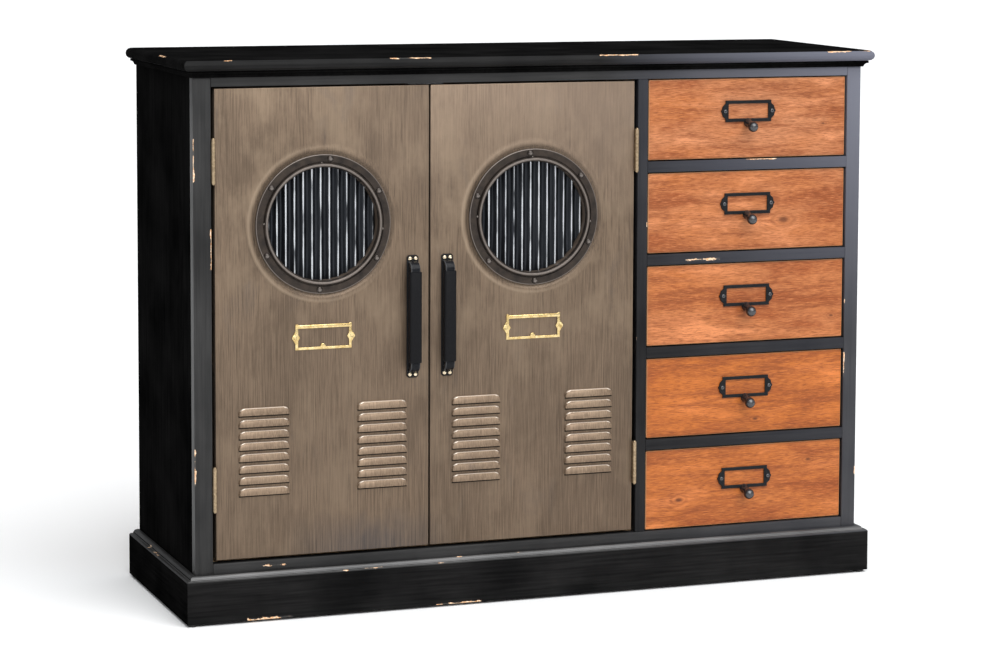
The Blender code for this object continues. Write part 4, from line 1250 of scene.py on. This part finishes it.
class SIDEBOARD_OT_label_frames(bpy.types.Operator):
    """Make the brass label frames on the doors"""

    bl_idname = "sideboard.label_frames"
    bl_label = "Label frames"

    def execute(self, context):
        brass = mottled_metal("bright_brass")
        for side in SIDES:
            centre = back_middle(f"label_frame_{side}")
            parts = self.rails(centre)
            for sign in (-1, 1):
                parts += self.end(centre, sign)
            boss = beside(centre, -0.001, -0.0009, -0.0150)
            parts.append(dome_screw("label_boss", boss, 0.0046, 0.0011, recess=False))
            label = joined(f"brass_label_{side}", *parts)
            hand_over(label, f"door_{side}", "bright_brass", brass, f"label_frame_{side}", smooth=50)
        return {"FINISHED"}

    def rails(self, centre):
        """Open frame, and the folded lip along its upper edge."""
        rail = block("label_rails", centre - LABEL_HALF - Vector((0, 0.0011, 0)), centre + LABEL_HALF)
        open_up(rail)
        choose(rail, "FACE", lambda f: abs(f.normal.y) > 0.9)
        bpy.ops.mesh.inset(thickness=0.0040)
        bpy.ops.mesh.bridge_edge_loops()
        put_down()
        round_edges(rail, 0.0004)
        low, high = beside(centre, -0.047, -0.0021, 0.0145), beside(centre, 0.047, -0.0009, 0.0195)
        lip = block("label_lip", low, high)
        round_edges(lip, 0.0005, 3)
        return [rail, lip]

    def end(self, centre, sign):
        """Post, pointed ear and screw at the left or right end."""
        post_x = sign * 0.0445
        post = block(
            "label_post",
            beside(centre, post_x - 0.0022, -0.0020, -0.019),
            beside(centre, post_x + 0.0022, -0.0009, 0.0215),
        )
        round_edges(post, 0.0005, 3)
        ear_x = sign * 0.0460
        ear = rod("label_ear", beside(centre, ear_x, -0.0008, 0), 0.0085, 0.0015, 4)
        open_up(ear, "FACE", whole=True)
        scale((0.8, 1, 1.35), beside(centre, ear_x, 0, 0))
        put_down()
        round_edges(ear, 0.0004)
        screw_place = beside(centre, sign * 0.0483, -0.0011, 0)
        return [post, ear, dome_screw("label_screw", screw_place, 0.0044, 0.0009)]


PIN_RADIUS = 0.0024
PIN_BEHIND = 0.0032  # from the front of a frame leaf to its pin


class SIDEBOARD_OT_hinges(bpy.types.Operator):
    """Finish the butt hinges and add the ends of their pins"""

    bl_idname = "sideboard.hinges"
    bl_label = "Hinges"

    def execute(self, context):
        brass = mottled_metal("aged_brass")
        for side in SIDES:
            for level in ("lower", "upper"):
                node = f"hinge_frame_leaf_{side}_{level}"
                leaf = traced(node, f"frame_leaf_{side}_{level}")
                low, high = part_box(node)
                tips = []
                for z in (high.z, low.z):
                    place = (middle(node).x, low.y + PIN_BEHIND, z)
                    put_down()
                    bpy.ops.mesh.primitive_uv_sphere_add(
                        segments=12, ring_count=8, radius=PIN_RADIUS, location=place
                    )
                    tips.append(settle(bpy.context.object, "pin_tip"))
                leaf = joined(f"frame_leaf_{side}_{level}", leaf, *tips)
                hand_over(leaf, CASE, "aged_brass", brass, node, smooth=40)
                node = f"hinge_door_leaf_{side}_{level}"
                leaf = traced(node, f"door_leaf_{side}_{level}")
                hand_over(leaf, f"door_{side}", "aged_brass", brass, node, smooth=40)
        return {"FINISHED"}


# ---------------------------------------------------------------- drawers

KNOTS = {  # x, z and radius of each, from the middle of the front
    1: [(0.140, -0.012, 0.003)],
    2: [(0.068, -0.018, 0.010)],
    3: [(0.16, -0.03, 0.004)],
    4: [(0.02, -0.045, 0.005)],
    5: [(-0.12, -0.02, 0.007), (0.12, 0.035, 0.005)],
}
TONES = {1: 0.85, 2: 0.65, 3: 0.5, 4: 0.1, 5: 0.2}  # from brown to pink


class SIDEBOARD_OT_drawers(bpy.types.Operator):
    """Make the stained drawer fronts and the pine boxes behind them"""

    bl_idname = "sideboard.drawers"
    bl_label = "Drawers"

    def execute(self, context):
        settings = context.scene.sideboard_drawers
        box_wood = pine("box_pine", Y, (0.66, 0.46, 0.27), (0.44, 0.27, 0.14))
        for number in DRAWERS:
            body = f"drawer_{number}"
            node = f"drawer_front_{number}"
            front = traced(node, f"stained_front_{number}")
            round_edges(front, 0.004, profile=1.0)
            round_edges(front, settings.edge, 3)
            x, _, z = corners_of(front).T
            low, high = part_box(node)
            # Marks the front's edges for a painted highlight along them.
            gap = np.min([x - low.x, high.x - x, z - low.z, high.z - z], axis=0)
            mark(front, "wear_and_highlight", np.clip(1 - gap / 0.003, 0, 1))
            wood = stained_wood(number, settings, KNOTS[number], TONES[number])
            hand_over(front, body, "stained_wood", wood, node)
            node = f"drawer_box_{number}"
            tray = traced(node, f"pine_box_{number}")
            round_edges(tray, 0.0010)
            hand_over(tray, body, "bare_pine", box_wood, node)
        return {"FINISHED"}


def holder_outline(sign):
    """Right or left ear of a label holder, as (x, z) points from below to above."""
    lower = [(0.0425, -0.0180), (0.0418, -0.0150), (0.0424, -0.0125), (0.0446, -0.0104)]
    lower += [(0.0470, -0.0085), (0.0478, -0.0055), (0.0484, -0.0028)]
    points = lower + [(0.0505, 0.0)] + [(x, -z) for x, z in reversed(lower)]
    return [(sign * x, sign * z) for x, z in points]


WINDOW = [(0.0365, -0.0125), (0.0365, 0.0125), (-0.0365, 0.0125), (-0.0365, -0.0125)]
HOLDER_BELOW = 0.018  # from the top of a holder to its middle
KNOB_BELOW = 0.0195  # from its middle to the root of the knob
KNOB_PROFILE = [  # radius and how far forward, up to the neck
    (0.0001, 0.0005),
    (0.0078, 0.0005),
    (0.0080, 0.0032),
    (0.0075, 0.0046),
    (0.0066, 0.0070),
    (0.0060, 0.0100),
    (0.0058, 0.0128),
]
BALL_OUT, BALL_RADIUS, BALL_DROP = 0.021, 0.009, 0.006


class SIDEBOARD_OT_drawer_pulls(bpy.types.Operator):
    """Make the cast label holders and their teardrop knobs"""

    bl_idname = "sideboard.drawer_pulls"
    bl_label = "Drawer pulls"

    def execute(self, context):
        iron = mottled_metal("cast_iron")
        polished_and_highlight = mottled_metal("iron_polished")
        low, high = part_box("drawer_label_pull_1")
        centre = Vector(((low.x + high.x) / 2, high.y, high.z - HOLDER_BELOW))
        first = self.pull(centre)
        for number in DRAWERS:
            node = f"drawer_label_pull_{number}"
            pull = copied(first, f"iron_pull_{number}", (0, 0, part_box(node)[1].z - high.z))
            # Painted highlight on the knob's ball and on the screw heads.
            x, y, _ = corners_of(pull).T
            ball = y < high.y - 0.0250
            head = (y < high.y - 0.0044) & (np.abs(x - centre.x) > 0.039)
            mark(pull, "wear_and_highlight", np.where(ball, 0.6, np.where(head, 0.7, 0.0)))
            hand_over(pull, f"drawer_{number}", "black_iron", iron, node, smooth=45)
            paint_faces(pull, polished_and_highlight, lambda face: face.center.y < high.y - 0.0033)
        bpy.data.objects.remove(first)
        return {"FINISHED"}

    def pull(self, centre):
        """Cast plate with a window, its knob below and a screw at each end."""
        outer = [beside(centre, x, 0, z) for x, z in holder_outline(1) + holder_outline(-1)]
        inner = [beside(centre, x, 0, z) for x, z in WINDOW]
        plate = joined("holder", drawn("holder", outer, True), drawn("window", inner, True))
        open_up(plate, "EDGE", whole=True)
        bpy.ops.mesh.fill()
        bpy.ops.mesh.select_all(action="SELECT")
        bpy.ops.mesh.dissolve_limited(angle_limit=math.radians(1))
        bpy.ops.mesh.select_all(action="SELECT")
        push((0, -0.003, 0))
        tidy(plate)
        round_edges(plate, 0.0009)
        parts = [plate, self.knob(beside(centre, 0, 0, -KNOB_BELOW))]
        for sign in (-1, 1):
            place = beside(centre, sign * 0.0430, -0.0028, 0)
            parts.append(dome_screw("holder_screw", place, 0.0036, 0.0022))
        return joined("iron_pull", *parts)

    def knob(self, root):
        """Round root, short neck and ball that drops towards its tip."""
        profile = list(KNOB_PROFILE)
        for turn in np.radians((42, 56, 70, 85, 100, 115, 130, 145, 160, 172)):
            out = BALL_OUT - BALL_RADIUS * math.cos(turn)
            profile.append((BALL_RADIUS * math.sin(turn), out))
        profile.append((0.0001, BALL_OUT + BALL_RADIUS))
        knob = spun("knob", root, profile, 24, closed=False)
        for vertex in knob.data.vertices:
            share = min(1.0, max(0.0, (root.y - vertex.co.y) / BALL_OUT))
            vertex.co.z -= BALL_DROP * share**1.3
        tidy(knob, 0.0003)
        return knob


# ---------------------------------------------------------------- stage


SUNS = {  # direction towards each, and its spread in degrees
    "key": ((0.12, -0.64, 0.76), 60),
    "front": ((-0.05, -0.80, 0.60), 70),
}
CAMERA_PLACE = (-1.78255, -4.90292, 1.17672)
CAMERA_TURNS = (21.4102, -5.5146, 0.3602)  # azimuth, pitch and roll in degrees
CAMERA_SHIFT = (-0.08, -0.15)


class SIDEBOARD_OT_stage(bpy.types.Operator):
    """Set the floor, the lights and the camera"""

    bl_idname = "sideboard.stage"
    bl_label = "Stage"

    def execute(self, context):
        settings = context.scene.sideboard_stage
        put_down()
        bpy.ops.mesh.primitive_plane_add(size=60, location=(0, 0, 0))
        floor = named(bpy.context.object, "studio_floor")
        floor.data.materials.append(studio_floor(settings.floor))
        self.sky(context.scene)
        self.sun("key", settings.key)
        self.sun("front", settings.fill)
        self.camera(context.scene, settings.lens)
        context.scene.view_settings.view_transform = "Standard"
        return {"FINISHED"}

    def camera(self, scene, lens):
        camera_data = bpy.data.cameras.new("camera")
        camera_data.sensor_width = 36
        camera_data.lens = lens
        camera_data.shift_x, camera_data.shift_y = CAMERA_SHIFT
        camera = bpy.data.objects.new("camera", camera_data)
        scene.collection.objects.link(camera)
        scene.camera = camera
        azimuth, pitch, roll = (math.radians(turn) for turn in CAMERA_TURNS)
        forward = Vector((math.sin(azimuth), math.cos(azimuth), 0)) * math.cos(pitch)
        forward.z = math.sin(pitch)
        level = Vector((math.cos(azimuth), -math.sin(azimuth), 0))
        upright = level.cross(forward)
        right = level * math.cos(roll) + upright * math.sin(roll)
        up = upright * math.cos(roll) - level * math.sin(roll)
        turned = Matrix((right, up, -forward)).transposed().to_4x4()
        camera.matrix_world = Matrix.Translation(CAMERA_PLACE) @ turned

    def sky(self, scene):
        """Pale surround that lights the cabinet from above more than from the sides."""
        world = scene.world or bpy.data.worlds.new("World")
        scene.world = world
        world.use_nodes = True
        tree = world.node_tree
        tree.nodes.clear()

        def node(kind, **values):
            made = tree.nodes.new(f"ShaderNode{kind}")
            for key, value in values.items():
                made.inputs[key.replace("_", " ")].default_value = value
            return made

        place, split, path = node("TexCoord"), node("SeparateXYZ"), node("LightPath")
        rise = node("MapRange", From_Min=0.0, From_Max=0.9, To_Min=0.18, To_Max=0.75)
        soft = node("Background", Color=(0.96, 0.98, 1.0, 1))
        seen = node("Background", Color=(0.97, 0.97, 0.97, 1))
        choice, out = node("MixShader"), node("OutputWorld")
        for start, end in (
            (place.outputs["Generated"], split.inputs[0]),
            (split.outputs["Z"], rise.inputs["Value"]),
            (rise.outputs[0], soft.inputs["Strength"]),
            (path.outputs["Is Camera Ray"], choice.inputs[0]),
            (soft.outputs[0], choice.inputs[1]),
            (seen.outputs[0], choice.inputs[2]),
            (choice.outputs[0], out.inputs["Surface"]),
        ):
            tree.links.new(start, end)

    def sun(self, name, strength):
        """Soft even light from one direction."""
        towards, spread = SUNS[name]
        lamp = bpy.data.lights.new(name, "SUN")
        lamp.energy = strength
        lamp.angle = math.radians(spread)
        holder = bpy.data.objects.new(name, lamp)
        bpy.context.scene.collection.objects.link(holder)
        holder.rotation_euler = Vector(towards).to_track_quat("Z", "Y").to_euler()


# ---------------------------------------------------------------- add-on


class SIDEBOARD_PT_panel(bpy.types.Panel):
    """Sideboard's pieces, in the order in which they are made"""

    bl_idname = "SIDEBOARD_PT_panel"
    bl_label = "Sideboard"
    bl_space_type = "VIEW_3D"
    bl_region_type = "UI"
    bl_category = "Sideboard"

    def draw(self, context):
        for group in GROUPS:
            settings = getattr(context.scene, group)
            box = self.layout.box()
            for key in settings.bl_rna.properties.keys():
                if key not in ("rna_type", "name"):
                    box.prop(settings, key)
        for operator in OPERATORS:
            self.layout.operator(operator.bl_idname)


OPERATORS = (
    SIDEBOARD_OT_case,
    SIDEBOARD_OT_inside,
    SIDEBOARD_OT_door_faces,
    SIDEBOARD_OT_portholes,
    SIDEBOARD_OT_door_pulls,
    SIDEBOARD_OT_label_frames,
    SIDEBOARD_OT_hinges,
    SIDEBOARD_OT_drawers,
    SIDEBOARD_OT_drawer_pulls,
    SIDEBOARD_OT_stage,
)


def register():
    for group in GROUPS.values():
        bpy.utils.register_class(group)
    for name, group in GROUPS.items():
        setattr(bpy.types.Scene, name, PointerProperty(type=group))
    for operator in OPERATORS:
        bpy.utils.register_class(operator)
    bpy.utils.register_class(SIDEBOARD_PT_panel)


def unregister():
    bpy.utils.unregister_class(SIDEBOARD_PT_panel)
    for operator in reversed(OPERATORS):
        bpy.utils.unregister_class(operator)
    for name, group in GROUPS.items():
        delattr(bpy.types.Scene, name)
        bpy.utils.unregister_class(group)


def main():
    register()
    for operator in OPERATORS:
        group, action = operator.bl_idname.split(".")
        getattr(getattr(bpy.ops, group), action)()


if __name__ == "__main__":
    main()
